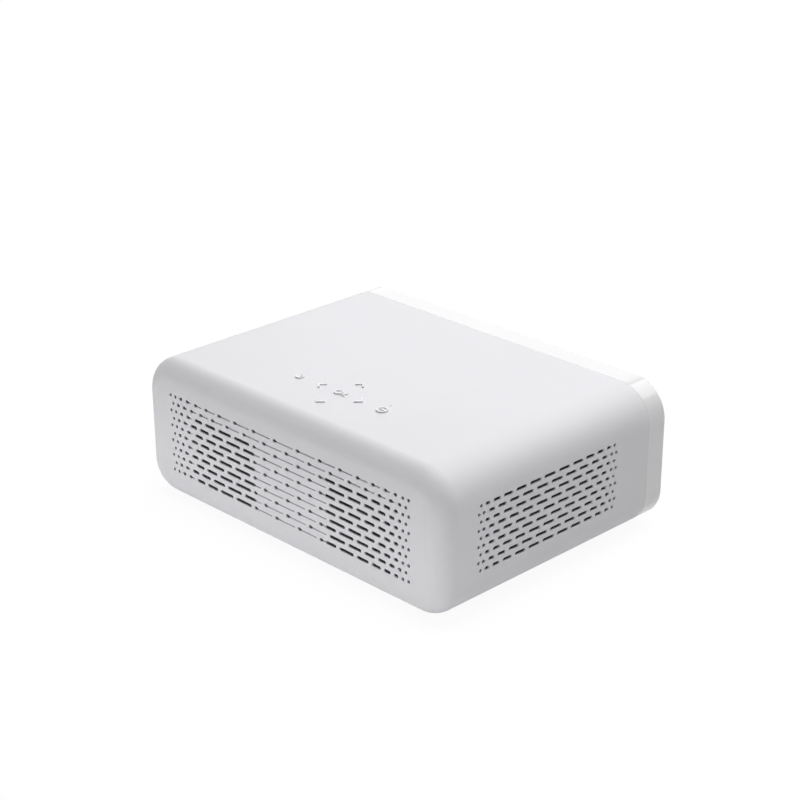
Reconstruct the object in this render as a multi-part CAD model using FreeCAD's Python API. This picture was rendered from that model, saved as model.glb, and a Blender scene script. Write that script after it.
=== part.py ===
import FreeCAD, Part
import math
import os

os.makedirs("parts", exist_ok=True)

V = FreeCAD.Vector
X_AXIS = V(1, 0, 0)
Y_AXIS = V(0, 1, 0)
Z_AXIS = V(0, 0, 1)

# A home projector with a disc player in it, in millimetres.
# +Z is up, the lens and the disc tray face -Y, and the origin is on the table under the middle.

# Casing: one rounded tube with a filleted rear end and a gloss ring on its front end
width = 290.0
depth = 212.0
body_height = 100.8
foot_height = 3.0
top_radius = 26.0
bottom_radius = 23.5
rear_radius = 14.0
wall = 2.5
bezel_depth = 17.5
bezel_rim = 9.0
bezel_face = 4.0

front = -depth / 2
rear = depth / 2
seam = front + bezel_depth
bottom = foot_height
top = foot_height + body_height
middle = bottom + body_height / 2
inner_top = top - wall
inner_rear = rear - wall
inner_side = width / 2 - wall

# Grilles: rows of slots, every second row shifted by half a slot
row_pitch = 5.6
slot_height = 2.2
slot_gap = 3.0
groove_depth = 0.9
groove_half = 0.4
end_hole = 3.2
rear_rows = 11
rear_slots = 9
side_rows = 9
side_slots = 6
side_grille_y = 9.5
side_grille_lift = 0.7
side_grille_reach = 67.0
side_grille_step = 11.8
speaker_window = (29.0, 95.0)
fan_window = (-130.0, -39.5)
blank_rows = 2
field_wall = 1.2
rear_fields = [(27.0, 97.0), (-121.0, -38.0)]
rear_field_z = (22.0, 84.0)
side_field_y = (-60.5, 79.5)
side_field_z = (30.0, 77.7)

# Lens and light path, all on one axis along Y
lens_x = -74.0
lens_z = 55.0
barrel_radius = 24.0
sleeve_radius = 27.0
ring_radius = 30.5
run_fit = 0.06

# Disc player
tray_x = 66.0
tray_width = 128.0
tray_front_y = -98.0
tray_rear_y = 75.0
tray_floor = 66.0
tray_top = 72.0
disc_radius = 60.0
disc_y = -28.0
door_width = 132.0
door_low = 61.5
door_high = 77.5
frame_floor = 49.0
gear_module = 1.5
rack_x = 12.0
pinion_teeth = 14
wheel_teeth = 26
small_teeth = 10
tray_gear_y = -72.0
belt_z = 53.2
pulley_radius = 15.0
motor_pulley_radius = 4.0
motor_x = 98.0
rod_offset = 19.0
rod_z = 60.0
screw_offset = 27.0
screw_z = 60.7
screw_radius = 1.25

# Keys on top: raised symbols that poke through the casing
pad_x = -3.6
pad_y = 58.0
arrow_reach = 21.4
arrow_arm = 5.7
arrow_width = 1.1
power_x = 35.9
back_x = -43.0
key_rise = 1.0
key_gap = 0.2
key_line = 0.9
key_board_z = 92.0


def box(x0, x1, y0, y1, z0, z1):
    return Part.makeBox(x1 - x0, y1 - y0, z1 - z0, V(x0, y0, z0))


def centred_box(x, y, z, dx, dy, dz):
    return box(x - dx / 2, x + dx / 2, y - dy / 2, y + dy / 2, z - dz / 2, z + dz / 2)


def rod(radius, start, axis, length):
    return Part.makeCylinder(radius, length, V(*start), axis)


def tube(outer, inner, start, axis, length):
    return rod(outer, start, axis, length).cut(rod(inner, start, axis, length))


def prism(points, direction):
    wire = Part.makePolygon(points + points[:1])
    return Part.Face(wire).extrude(direction)


def turned(profile, start, axis):
    """Turns (radius, height) points about axis; a third value is the middle of an arc to that point."""
    across = V(0, 0, 1) if abs(axis.z) < 0.5 else V(1, 0, 0)
    place = lambda p: V(*start) + across * p[0] + axis * p[1]
    edges = []
    for a, b in zip(profile, profile[1:] + profile[:1]):
        if len(b) == 3:
            edges.append(Part.Arc(place(a), place(b[2]), place(b)).toShape())
        else:
            edges.append(Part.makeLine(place(a), place(b)))
    return Part.Face(Part.Wire(edges)).revolve(V(*start), axis, 360)


def joined(shapes):
    first = shapes[0]
    if len(shapes) == 1:
        return first
    return first.multiFuse(shapes[1:]).removeSplitter()


def cut_all(shape, tools):
    return shape.cut(Part.makeCompound(tools))


def rounded(shape, radius, chosen):
    """Fillets the edges whose middle point passes the test."""
    edges = [e for e in shape.Edges if chosen(e.CenterOfMass)]
    return shape.makeFillet(radius, edges)


def plate(x, y, z0, z1, dx, dy, radius):
    """A flat plate with rounded corners, centred on x and y."""
    block = box(x - dx / 2, x + dx / 2, y - dy / 2, y + dy / 2, z0, z1)
    upright = [e for e in block.Edges if abs(e.tangentAt(0).z) > 0.9]
    return block.makeFillet(radius, upright)


def write(name, shape):
    shape.exportStep("parts/" + name + ".step")


# ---------------------------------------------------------------- casing
def body_section(inset, y):
    """The casing's cross-section: a wide box with round corners, moved in by inset."""
    half = width / 2 - inset
    low = bottom + inset
    high = top - inset
    corners = [
        (half, low, bottom_radius - inset, 1, -1),
        (half, high, top_radius - inset, 1, 1),
        (-half, high, top_radius - inset, -1, 1),
        (-half, low, bottom_radius - inset, -1, -1),
    ]
    edges = []
    ends = []
    bend = math.sqrt(0.5)
    for x, z, r, sx, sz in corners:
        cx = x - sx * r
        cz = z - sz * r
        side_end = V(x, y, cz)
        flat_end = V(cx, y, z)
        centre = V(cx + sx * r * bend, y, cz + sz * r * bend)
        first, last = (flat_end, side_end) if sx * sz < 0 else (side_end, flat_end)
        edges.append(Part.Arc(first, centre, last).toShape())
        ends.append((first, last))
    outline = []
    for i, edge in enumerate(edges):
        outline.append(edge)
        outline.append(Part.makeLine(ends[i][1], ends[(i + 1) % 4][0]))
    return Part.Face(Part.Wire(outline))


def body_tube(inset, y0, y1):
    return body_section(inset, y0).extrude(V(0, y1 - y0, 0))


def closed_tube(inset, y0):
    """The casing's outside, or its inside when inset is the wall, with its rear edge rounded."""
    end = rear - inset
    block = body_tube(inset, y0, end)
    return rounded(block, rear_radius - inset, lambda c: abs(c.y - end) < 0.01)


def rear_station(k):
    """Where slot k of the rear grille has its middle; k is whole in odd rows, half in even rows."""
    n = abs(k)
    steps = 4.081 * n - 0.143 * n**2 - 0.01646 * n**3 + 0.001138 * n**4
    return math.copysign(steps * row_pitch, k)


def side_station(k):
    return side_grille_reach * math.sin(math.radians(side_grille_step * k))


def slots_of_row(station, row, most):
    """(start, end) of each slot in a row, counted from 0."""
    shift = 0.5 if row % 2 else 0.0
    last = most - 0.5 if (row % 2 and most == rear_slots) else most + shift
    count = int(2 * last) + 1
    spans = []
    for i in range(count):
        k = -last + i
        start = station(k - 0.5) + slot_gap / 2
        end = station(k + 0.5) - slot_gap / 2
        spans.append((start, end))
    return spans


def slot_cutter(a, b, z, into):
    """A slot from a to b with pointed ends, or a square hole where it is short; into maps (u, z) to 3-D."""
    h = slot_height / 2
    if b - a < 2.2 * slot_height:
        middle_u = (a + b) / 2
        half = max((b - a) / 2, 0.7)
        corners = [(middle_u - half, -h * 0.8), (middle_u + half, -h * 0.8)]
        corners += [(middle_u + half, h * 0.8), (middle_u - half, h * 0.8)]
    else:
        corners = [(a, 0), (a + h, -h), (b - h, -h), (b, 0), (b - h, h), (a + h, h)]
    points = [into(u, z + v) for u, v in corners]
    return points


def rear_grille():
    """Blind grooves, each with a small hole at its +X end, and through slots inside the two windows."""
    cutters = []
    for row in range(rear_rows):
        z = middle + ((rear_rows - 1) / 2 - row) * row_pitch
        for a, b in slots_of_row(rear_station, row, rear_slots):
            for start, end in open_spans(a, b, row):
                cutters.append(prism(slot_cutter(start, end, z, rear_point), V(0, -3 * wall, 0)))
            if b - a > end_hole:
                cutters.append(groove(a, b, z))
    return cutters


def rear_point(u, z):
    return V(u, rear + wall, z)


def groove(a, b, z):
    """A shallow line in the rear face; it is a little longer than the hole at its end, so they overlap."""
    return box(a, b - end_hole / 2, rear - groove_depth, rear + 1, z - groove_half, z + groove_half)


def open_spans(a, b, row):
    """The stretches of a slot that go through: its end hole, and what lies inside a window."""
    if b - a <= end_hole:
        return [(a, b)]
    spans = [(b - end_hole, b)]
    if row >= blank_rows:
        for low, high in (speaker_window, fan_window):
            start, end = max(a, low), min(b, high)
            if end >= b - end_hole and start < b - end_hole:
                spans = [(start, b)]
            elif end - start > end_hole:
                spans.append((start, end))
    return spans


def side_grille():
    cutters = []
    for row in range(side_rows):
        z = middle + side_grille_lift + ((side_rows - 1) / 2 - row) * row_pitch
        for a, b in slots_of_row(side_station, row, side_slots):
            points = slot_cutter(side_grille_y + a, side_grille_y + b, z, side_point)
            cutters.append(prism(points, V(3 * wall, 0, 0)))
    return cutters


def side_point(u, z):
    return V(-width / 2 - wall, u, z)


def thinned_fields():
    """Flat pockets inside the casing, which thin the wall where slots go through it."""
    z0, z1 = rear_field_z
    fields = [box(x0, x1, inner_rear - 1, rear - field_wall, z0, z1) for x0, x1 in rear_fields]
    y0, y1 = side_field_y
    z0, z1 = side_field_z
    return fields + [box(-width / 2 + field_wall, -inner_side + 1, y0, y1, z0, z1)]


def arrow_outline(x, y, turn, grow):
    """A chevron of two arms at right angles, its corner at (x, y) and pointing to turn degrees."""
    thick = arrow_width + 2 * grow
    arm = arrow_arm + 2 * grow
    shape = [(0, 0), (-arm, 0), (-arm, thick), (-thick, thick), (-thick, arm), (0, arm)]
    turned_by = math.radians(turn + 45)
    points = []
    for u, v in shape:
        along = u + grow
        across = v - grow
        dx = along * math.cos(turned_by) - across * math.sin(turned_by)
        dy = along * math.sin(turned_by) + across * math.cos(turned_by)
        points.append(V(x + dx, y + dy, 0))
    return points


arrow_keys = {
    "right_key": (pad_x - arrow_reach, pad_y, 180),
    "left_key": (pad_x + arrow_reach, pad_y, 0),
    "down_key": (pad_x, pad_y + arrow_reach, 90),
    "up_key": (pad_x, pad_y - arrow_reach, 270),
}
round_keys = {"power_key": (power_x, 3.4), "back_key": (back_x, 4.0)}
letter_half = 3.6
letter_radius = 2.6


def key_tops(name, grow):
    """The outlines that come through the casing, as prisms one high."""
    if name in arrow_keys:
        x, y, turn = arrow_keys[name]
        return [prism(arrow_outline(x, y, turn, grow), Z_AXIS)]
    if name in round_keys:
        x, radius = round_keys[name]
        return [rod(radius + grow, (x, pad_y, 0), Z_AXIS, 1)]
    half = letter_radius + grow
    letter_o = rod(half, (pad_x + letter_half, pad_y, 0), Z_AXIS, 1)
    letter_k = centred_box(pad_x - letter_half, pad_y, 0.5, 2 * half, 2 * half, 1)
    return [letter_o, letter_k]


top_keys = list(arrow_keys) + list(round_keys) + ["ok_key"]


def stretched(shape, z0, z1):
    """A prism one high becomes one from z0 to z1."""
    grown = FreeCAD.Matrix()
    grown.scale(1, 1, z1 - z0)
    tall = shape.transformGeometry(grown)
    tall.translate(V(0, 0, z0))
    return tall


def key_holes():
    return [stretched(t, inner_top - 1, top + 1) for n in top_keys for t in key_tops(n, key_gap)]


# Underside: a pocket for the cover, with a ledge inside that takes its screws
pocket_x = 118.0
pocket_y = (-80.0, 86.0)
ledge = 10.0
cover_gap = 0.3
screw_places = [(x, y) for x in (-113.0, 113.0) for y in (-66.0, 3.0, 72.0)]
loader_posts = [(130.0, -62.0), (130.0, 74.0)]


def underside_pocket():
    y0, y1 = pocket_y
    pocket = box(-pocket_x, pocket_x, y0, y1, 0, bottom + wall)
    opening = box(-pocket_x + ledge, pocket_x - ledge, y0 + ledge, y1 - ledge, 0, 20)
    return [pocket, opening]


# Sockets on the right-hand side, below the disc player, in a plate of their own: (y, width, height)
socket_z = 35.0
plate_y = (-35.0, 71.0)
plate_height = 15.6
plate_fit = 0.12
plate_sink = 0.3
plate_lip = 2.4
sockets = {
    "hdmi_socket": (-22.0, 16.0, 7.0),
    "usb_socket": (1.0, 14.6, 7.6),
    "mains_inlet": (54.0, 24.0, 13.0),
}
jack_places = (18.0, 31.0)
jack_block = (12.7, 11.6)
socket_face = width / 2 - 0.4


def socket_window(x0, x1, grow):
    """The room for the socket plate in the casing's side, made larger all round by grow."""
    low, high = plate_y
    half = plate_height / 2 + grow
    return box(x0, x1, low - grow, high + grow, socket_z - half, socket_z + half)


def socket_plate():
    """The inset plate round the sockets, held from inside by its lip."""
    face = socket_window(inner_side - 0.1, width / 2 - plate_sink, -plate_fit)
    lip = socket_window(inner_side - 1.4, inner_side - 0.08, plate_lip)
    gap = 0.25
    wide, high = jack_block
    jack_pair = (sum(jack_places) / 2, jack_places[1] - jack_places[0] + wide, high)
    holes = []
    for y, wide, high in list(sockets.values()) + [jack_pair]:
        holes.append(centred_box(width / 2, y, socket_z, 4 * wall, wide + 2 * gap, high + 2 * gap))
    return cut_all(joined([face, lip]), holes)


def main_shell():
    outside = closed_tube(0, seam)
    inside = closed_tube(wall, seam - 1)
    y0, y1 = pocket_y
    rim = box(-pocket_x - 3, pocket_x + 3, y0 - 3, y1 + 3, bottom + 1, bottom + wall + 2)
    bosses = [rod(4.0, (x, y, bottom + 2), Z_AXIS, 10) for x, y in screw_places]
    posts = [rod(3.5, (x, y, bottom + 3.4), Z_AXIS, frame_floor - bottom - 3.5) for x, y in loader_posts]
    shell = joined([outside.cut(inside), rim] + bosses + posts)
    # the rim and posts may not reach out through the rounded lower corners
    shell = shell.common(outside)
    screws = [rod(1.45, (x, y, 0), Z_AXIS, bottom + 13) for x, y in screw_places]
    window = socket_window(inner_side - 5, width / 2 + 5, 0)
    shell = cut_all(shell, underside_pocket() + screws + [window] + key_holes() + thinned_fields())
    return cut_all(shell, rear_grille() + side_grille())


# Flip-out stand under the front edge
stand_x = 24.0
stand_hinge = (-40.0, 5.4)
stand_length = 25.0
stand_pin_radius = 1.2
vent_rows = [(-95.0 + 9.0 * i) for i in range(5)] + [(24.0 + 9.0 * i) for i in range(8)]
supply_posts = [(-104.0, 16.0), (-12.0, 16.0), (-104.0, 72.0), (-12.0, 72.0)]
optics_posts = [(-102.0, -46.0), (-46.0, -46.0), (-102.0, 2.0), (-46.0, 2.0)]
board_posts = [(10.0, -26.0), (104.0, -26.0), (10.0, 70.0), (104.0, 70.0)]
frame_posts = [(1.5, -27.0), (1.5, 72.0)]
board_z = 24.0
supply_z = 14.0
optics_floor = 24.0
ceiling_spacing = 80.0
ceiling_y = 12.0
tripod_y = -8.0
foot_places = [(x, y) for x in (-98.0, 98.0) for y in (-60.0, 64.0)]


def ceiling_places():
    half = ceiling_spacing / 2
    return [(sx * half, ceiling_y + sy * half) for sx in (-1, 1) for sy in (-1, 1)]


def bottom_cover():
    y0, y1 = pocket_y
    low = bottom + 0.1
    high = bottom + wall - 0.1
    cover = plate(0, (y0 + y1) / 2, low, high, 2 * (pocket_x - cover_gap), y1 - y0 - 2 * cover_gap, 2)
    hinge_y, hinge_z = stand_hinge
    well = (-stand_x - 3.5, stand_x + 3.5, hinge_y - stand_length - 3.5, hinge_y + 5.0)
    solids = [cover, box(*well, low, low + 7.0)]
    for places, height in ((supply_posts, supply_z), (optics_posts, optics_floor), (board_posts, board_z)):
        solids += [rod(3.0, (x, y, low), Z_AXIS, height - low - 0.05) for x, y in places]
    solids += [rod(3.5, (x, y, low), Z_AXIS, frame_floor - low - 0.05) for x, y in frame_posts]
    solids += [rod(5.0, (x, y, low), Z_AXIS, 9) for x, y in ceiling_places()]
    solids.append(rod(7.5, (0, tripod_y, low), Z_AXIS, 9.5))
    solids += [box(-100, 100, y - 0.9, y + 0.9, high - 0.1, high + 2.5) for y in (-22.0, 34.0)]
    cover = joined(solids)
    pit = box(well[0] + 3, well[1] - 3, well[2] + 2, well[3] - 1.5, 0, low + 5.5)
    pin_hole = rod(stand_pin_radius + 0.02, (well[0] + 1, hinge_y, hinge_z), X_AXIS, well[1] - well[0] - 2)
    tools = [pit, pin_hole]
    tools += [rod(1.6, (x, y, 0), Z_AXIS, 10) for x, y in screw_places]
    tools += [rod(3.1, (x, y, 0), Z_AXIS, low + 1.2) for x, y in screw_places]
    tools += [rod(8.1, (x, y, 0), Z_AXIS, low + 0.8) for x, y in foot_places]
    tools += [rod(3.02, (x, y, 0), Z_AXIS, 15) for x, y in ceiling_places()]
    tools.append(rod(5.02, (0, tripod_y, 0), Z_AXIS, 15))
    tools += [centred_box(x, -2, 4, 3.2, 30, 6) for x in vent_rows]
    return cut_all(cover, tools)


def tilt_stand():
    """A flap that swings down about its rear edge and lifts the front of the projector."""
    hinge_y, hinge_z = stand_hinge
    half = 1.8
    flap = box(-stand_x, stand_x, hinge_y - stand_length, hinge_y, hinge_z - half, hinge_z + half)
    knuckle = rod(half, (-stand_x, hinge_y, hinge_z), X_AXIS, 2 * stand_x)
    flap = joined([flap, knuckle])
    tip_y = hinge_y - stand_length
    flap = rounded(flap, 1.2, lambda c: abs(c.y - tip_y) < 0.01 and abs(c.x) < 1)
    grip = box(-8, 8, tip_y + 4, tip_y + 9, hinge_z - half - 1, hinge_z - half + 1)
    return flap.cut(grip).cut(rod(stand_pin_radius + run_fit, (-30, hinge_y, hinge_z), X_AXIS, 60))


def stand_pin():
    hinge_y, hinge_z = stand_hinge
    return rod(stand_pin_radius, (-stand_x - 2.4, hinge_y, hinge_z), X_AXIS, 2 * stand_x + 4.8)


def rubber_feet():
    return Part.makeCompound([
        turned([(0, 0), (7.0, 0), (8.0, 1.0), (8.0, 3.8), (0, 3.8)], (x, y, 0), Z_AXIS)
        for x, y in foot_places
    ])


def cover_screws():
    head = bottom + 0.3
    profile = [(0, 0.9), (1.0, 0.9), (1.0, 0), (2.8, 0), (2.8, 0.9), (1.4, 0.95), (1.4, 8.5), (0, 8.5)]
    return Part.makeCompound([turned(profile, (x, y, head), Z_AXIS) for x, y in screw_places])


def threaded_inserts():
    """Four M4 brass inserts for a ceiling bracket and one quarter-inch insert for a tripod."""
    z = bottom + 0.3
    small = [tube(3.0, 1.65, (x, y, z), Z_AXIS, 8) for x, y in ceiling_places()]
    return Part.makeCompound(small + [tube(5.0, 2.6, (0, tripod_y, z), Z_AXIS, 9)])


def front_bezel():
    """The gloss ring that finishes the tube's front end, with a tongue that slips inside the tube."""
    ring = body_tube(0, front, seam)
    ring = rounded(ring, 2.0, lambda c: abs(c.y - front) < 0.01)
    ring = ring.cut(body_tube(bezel_rim, front - 1, front + bezel_face + 1))
    ring = ring.cut(body_tube(wall + 0.6, front + bezel_face, seam + 1))
    tongue = body_tube(wall + 0.15, seam - 2, seam + 5)
    tongue = tongue.cut(body_tube(wall + 1.6, seam - 3, seam + 6))
    ring = ring.cut(body_tube(wall + 0.15, seam - 2, seam + 1))
    skirt = body_tube(0, seam - 2, seam).cut(body_tube(wall + 0.15, seam - 3, seam + 1))
    return joined([ring, skirt, tongue])


panel_front = front + bezel_face + 0.1
panel_back = panel_front + 2.4
eject_place = (-18.0, 70.0)
eject_radius = 4.0
ir_place = (-18.0, 50.0)
ir_radius = 5.0


def front_panel():
    """The flat front behind the ring, with holes for the lens, the tray, a key and the remote's eye."""
    panel = body_tube(wall + 0.9, panel_front, panel_back)
    door = box(
        tray_x - door_width / 2 - 0.5, tray_x + door_width / 2 + 0.5,
        front, 0, door_low - 0.5, door_high + 0.5,
    )
    lens = rod(ring_radius + 0.7, (lens_x, front, lens_z), Y_AXIS, 30)
    eject = rod(eject_radius + 0.25, (eject_place[0], front, eject_place[1]), Y_AXIS, 30)
    eye = rod(ir_radius + 0.1, (ir_place[0], front, ir_place[1]), Y_AXIS, 30)
    collar = tube(ring_radius + 3.0, ring_radius + 0.7, (lens_x, panel_back - 0.5, lens_z), Y_AXIS, 8)
    return joined([panel, collar]).cut(Part.makeCompound([door, lens, eject, eye]))


def ir_window():
    x, z = ir_place
    profile = [(0, -0.5), (ir_radius - 1, -0.3), (ir_radius, 0.2), (ir_radius, 2.5)]
    profile += [(6.2, 2.5), (6.2, 3.6), (0, 3.6)]
    return turned(profile, (x, panel_front, z), Y_AXIS)


def eject_key():
    x, z = eject_place
    profile = [(0, -0.8), (eject_radius - 0.6, -0.8), (eject_radius, -0.2), (eject_radius, 2.9)]
    profile += [(5.2, 2.9), (5.2, 4.2), (1.5, 4.2), (1.5, 7), (0, 7)]
    return turned(profile, (x, panel_front, z), Y_AXIS)


def dust_filter():
    """Foam filter in a frame, seated in the thinned field behind the side grille."""
    fit = 0.3
    edge = 3.0
    x = -width / 2 + field_wall + 0.1
    y0, y1 = side_field_y
    z0, z1 = side_field_z
    frame = box(x, x + 2.2, y0 + fit, y1 - fit, z0 + fit, z1 - fit)
    hollow = box(x + 1.2, x + 3, y0 + edge, y1 - edge, z0 + edge, z1 - edge)
    return frame.cut(hollow)


def rear_mesh():
    """Black mesh strips in the two thinned fields behind the rear grille."""
    fit = 0.3
    y = rear - field_wall - 0.1
    z0, z1 = rear_field_z
    return Part.makeCompound([box(x0 + fit, x1 - fit, y - 1, y, z0 + fit, z1 - fit) for x0, x1 in rear_fields])


# ---------------------------------------------------------------- keys
def top_key(name):
    """A symbol-shaped head above a flange, and a plunger that reaches the switch."""
    rise = key_rise if name in arrow_keys else 0
    heads = [stretched(t, inner_top - 1.2, top + rise) for t in key_tops(name, 0)]
    heads += key_rings(name)
    centre = key_centre(name)
    reach = 7.6 if name == "ok_key" else 5.2
    flange = rod(reach, (*centre, inner_top - 1.6), Z_AXIS, 1.3)
    plunger = rod(1.6, (*centre, key_board_z + 5.6), Z_AXIS, inner_top - key_board_z - 6)
    return joined([flange, plunger] + heads)


def key_rings(name):
    """The raised ring of a round key, and of the letter O."""
    if name in arrow_keys:
        return []
    x, radius = round_keys.get(name, (pad_x + letter_half, letter_radius))
    return [tube(radius, radius - key_line, (x, pad_y, top - 0.5), Z_AXIS, key_rise + 0.5)]


def key_centre(name):
    if name in arrow_keys:
        x, y, turn = arrow_keys[name]
        back = arrow_arm * 0.42
        angle = math.radians(turn)
        return (x - back * math.cos(angle), y - back * math.sin(angle))
    if name in round_keys:
        return (round_keys[name][0], pad_y)
    return (pad_x, pad_y)


def key_board():
    """A circuit board on hangers, with a tact switch under each key."""
    board = plate(-3, pad_y, key_board_z, key_board_z + 1.6, 104, 60, 3)
    solids = [board]
    for name in top_keys:
        x, y = key_centre(name)
        solids.append(centred_box(x, y, key_board_z + 2.7, 6, 6, 2.4))
        solids.append(rod(1.7, (x, y, key_board_z + 3.5), Z_AXIS, 1.2))
    for x in (-52.0, 46.0):
        solids.append(rod(2.5, (x, pad_y + 26, key_board_z + 1), Z_AXIS, inner_top - key_board_z - 1.1))
        solids.append(rod(2.5, (x, pad_y - 26, key_board_z + 1), Z_AXIS, inner_top - key_board_z - 1.1))
    return joined(solids)


# ---------------------------------------------------------------- lens and light
def lens_mount():
    """A square flange with the sleeve in which the barrel slides."""
    flange_y = -56.0
    half_x, half_z = 36, 32
    flange = centred_box(lens_x, flange_y + 2, lens_z, 2 * half_x, 4, 2 * half_z)
    at_corner = lambda c: abs(c.x - lens_x) > half_x - 0.1 and abs(c.z - lens_z) > half_z - 0.1
    flange = rounded(flange, 5, at_corner)
    sleeve = rod(sleeve_radius, (lens_x, -92, lens_z), Y_AXIS, 38)
    level_rib = centred_box(lens_x, flange_y - 5, lens_z, 64, 10, 2.4)
    upright_rib = centred_box(lens_x, flange_y - 5, lens_z, 2.4, 10, 60)
    mount = joined([flange, sleeve, level_rib, upright_rib])
    holes = [rod(barrel_radius + run_fit, (lens_x, -95, lens_z), Y_AXIS, 50)]
    for sx in (-1, 1):
        for sz in (-1, 1):
            place = (lens_x + sx * (half_x - 5), flange_y - 1, lens_z + sz * (half_z - 5))
            holes.append(rod(1.7, place, Y_AXIS, 6))
    return cut_all(mount, holes)


def focus_ring():
    """A ring round the sleeve, with finger grooves on the part that stands out of the panel."""
    start = front + 1.6
    inner = sleeve_radius + run_fit
    profile = [(inner, 27), (inner, 11), (barrel_radius + 1.0, 9.5), (barrel_radius + 2.4, 0)]
    profile += [(ring_radius - 1, 0), (ring_radius, 1), (ring_radius, 27)]
    ring = turned(profile, (lens_x, start, lens_z), Y_AXIS)
    grooves = []
    count = 16
    for i in range(count):
        angle = 2 * math.pi * i / count
        x = lens_x + (ring_radius + 1.1) * math.cos(angle)
        z = lens_z + (ring_radius + 1.1) * math.sin(angle)
        grooves.append(rod(1.9, (x, start - 1, z), Y_AXIS, 9))
    return cut_all(ring, grooves)


def lens_barrel():
    front_y = front + 6.5
    profile = [(21.0, 47.5), (21.0, 13), (19.6, 13), (19.6, 12), (21.0, 12), (21.0, 3), (22.6, 0)]
    profile += [(barrel_radius, 0), (barrel_radius, 47.5)]
    return turned(profile, (lens_x, front_y, lens_z), Y_AXIS)


def front_lens():
    """The lens that shows: a domed face to the front and a flat one behind."""
    radius, thick, bulge = 20.9, 6.5, 2.6
    ball = (radius * radius + bulge * bulge) / (2 * bulge)
    half_way = bulge - ball + math.sqrt(ball * ball - radius * radius / 4)
    profile = [(0, -bulge), (radius, 0, (radius / 2, -half_way)), (radius, thick), (0, thick)]
    return turned(profile, (lens_x, front + 10.2, lens_z), Y_AXIS)


def rear_lens():
    """The flat-faced inner lens, bevelled where it seats."""
    profile = [(0, 0), (18.5, 0), (20.9, 1.6), (20.9, 5), (0, 5)]
    return turned(profile, (lens_x, front + 40, lens_z), Y_AXIS)


optics_front = -51.8
optics_back = 8.0


def optics_housing():
    """An open-ended duct that holds the picture panel and the condenser in rib pairs."""
    outer = box(-33, 33, optics_front, optics_back, -31, 31)
    duct = outer.cut(box(-31, 31, optics_front - 1, optics_back + 1, -29, 29))
    ribs = []
    for y in (-27.5, -22.9, -9.5, -4.4):
        ribs.append(box(-31.5, 31.5, y, y + 1.4, -30, 30).cut(box(-26, 26, y - 1, y + 3, -24, 24)))
    duct = joined([duct] + ribs)
    duct.translate(V(lens_x, 0, lens_z))
    return duct


def picture_panel():
    glass = box(-29, 29, -25.9, -23.1, -27, 27)
    window = box(-22, 22, -26.2, -25.4, -13, 13)
    panel = glass.cut(window)
    panel.translate(V(lens_x, 0, lens_z))
    return panel


def condenser_lens():
    block = box(-28, 28, -7.9, -4.6, -26, 26)
    dome = Part.makeSphere(60, V(0, 46.5, 0)).common(box(-22, 22, -16, -7.5, -20, 20))
    shape = joined([block, dome])
    shape.translate(V(lens_x, 0, lens_z))
    return shape


def light_module():
    """The LED on its copper plate, with a reflector cup towards the condenser."""
    base = box(lens_x - 33, lens_x + 33, optics_back + 0.1, optics_back + 4.1, lens_z - 31, lens_z + 31)
    flare = [(8, 0), (8, -1.5), (16.5, -4.2), (22, -10), (24, -10), (24, 0)]
    cup = turned(flare, (lens_x, optics_back + 0.5, lens_z), Y_AXIS)
    chip = centred_box(lens_x, optics_back - 0.4, lens_z, 9, 1.4, 9)
    return joined([base, cup, chip])


def heat_sink():
    y = optics_back + 4.2
    solids = [box(lens_x - 33, lens_x + 33, y, y + 4, lens_z - 28, lens_z + 28)]
    fins = 9
    for i in range(fins):
        z = lens_z - 28 + i * (56 - 1.6) / (fins - 1)
        solids.append(box(lens_x - 33, lens_x + 33, y + 3, y + 40, z, z + 1.6))
    return joined(solids)


# ---------------------------------------------------------------- fans and speakers
def turn_to(shape, direction):
    """Takes a shape made along +Z and points it along another axis."""
    shape.Placement = FreeCAD.Placement(V(0, 0, 0), FreeCAD.Rotation(Z_AXIS, direction))
    return shape


def fan_frame(size, thick):
    """A square frame with a round duct, four struts and a motor cup, along +Z from 0."""
    bore = size / 2 - 2.0
    body = plate(0, 0, 0, thick, size, size, 4)
    body = body.cut(rod(bore, (0, 0, -1), Z_AXIS, thick + 2))
    solids = [body, rod(size * 0.2, (0, 0, 0), Z_AXIS, 2.2)]
    for i in range(3):
        strut = box(0, bore + 1, -1.5, 1.5, 0, 2.0)
        strut.rotate(V(0, 0, 0), Z_AXIS, 30 + 120 * i)
        solids.append(strut)
    frame = joined(solids)
    reach = size / 2 - 4.5
    holes = [rod(1.8, (sx * reach, sy * reach, -1), Z_AXIS, thick + 2) for sx in (-1, 1) for sy in (-1, 1)]
    pin = rod(1.0, (0, 0, 1.5), Z_AXIS, thick - 5)
    return joined([cut_all(frame, holes), pin])


def fan_rotor(size, thick):
    """Seven twisted blades on a hub."""
    hub_radius = size * 0.2
    reach = size / 2 - 3.0
    hub = rod(hub_radius, (0, 0, 3.0), Z_AXIS, thick - 3.6)
    hub = hub.cut(rod(1.0 + run_fit, (0, 0, 2), Z_AXIS, thick - 5))
    solids = [hub]
    blades = 7
    for i in range(blades):
        wires = []
        for radius, pitch in ((hub_radius - 1.0, 48), (reach, 28)):
            chord = 5.2 if radius < hub_radius else 8.2
            run = chord * math.cos(math.radians(pitch))
            lift = chord * math.sin(math.radians(pitch))
            z = thick / 2 + 0.6
            across = 0.55
            points = [V(radius, -run, z - lift - across), V(radius, run, z + lift - across)]
            points += [V(radius, run, z + lift + across), V(radius, -run, z - lift + across)]
            wires.append(Part.makePolygon(points + points[:1]))
        blade = Part.makeLoft(wires, True, True)
        blade.rotate(V(0, 0, 0), Z_AXIS, 360 * i / blades)
        solids.append(blade)
    rotor = joined(solids)
    keep = tube(reach, 0.5, (0, 0, 2.6), Z_AXIS, thick - 3.2)
    return rotor.common(keep.fuse(rod(hub_radius, (0, 0, 2.6), Z_AXIS, thick - 3.2)))


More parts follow.
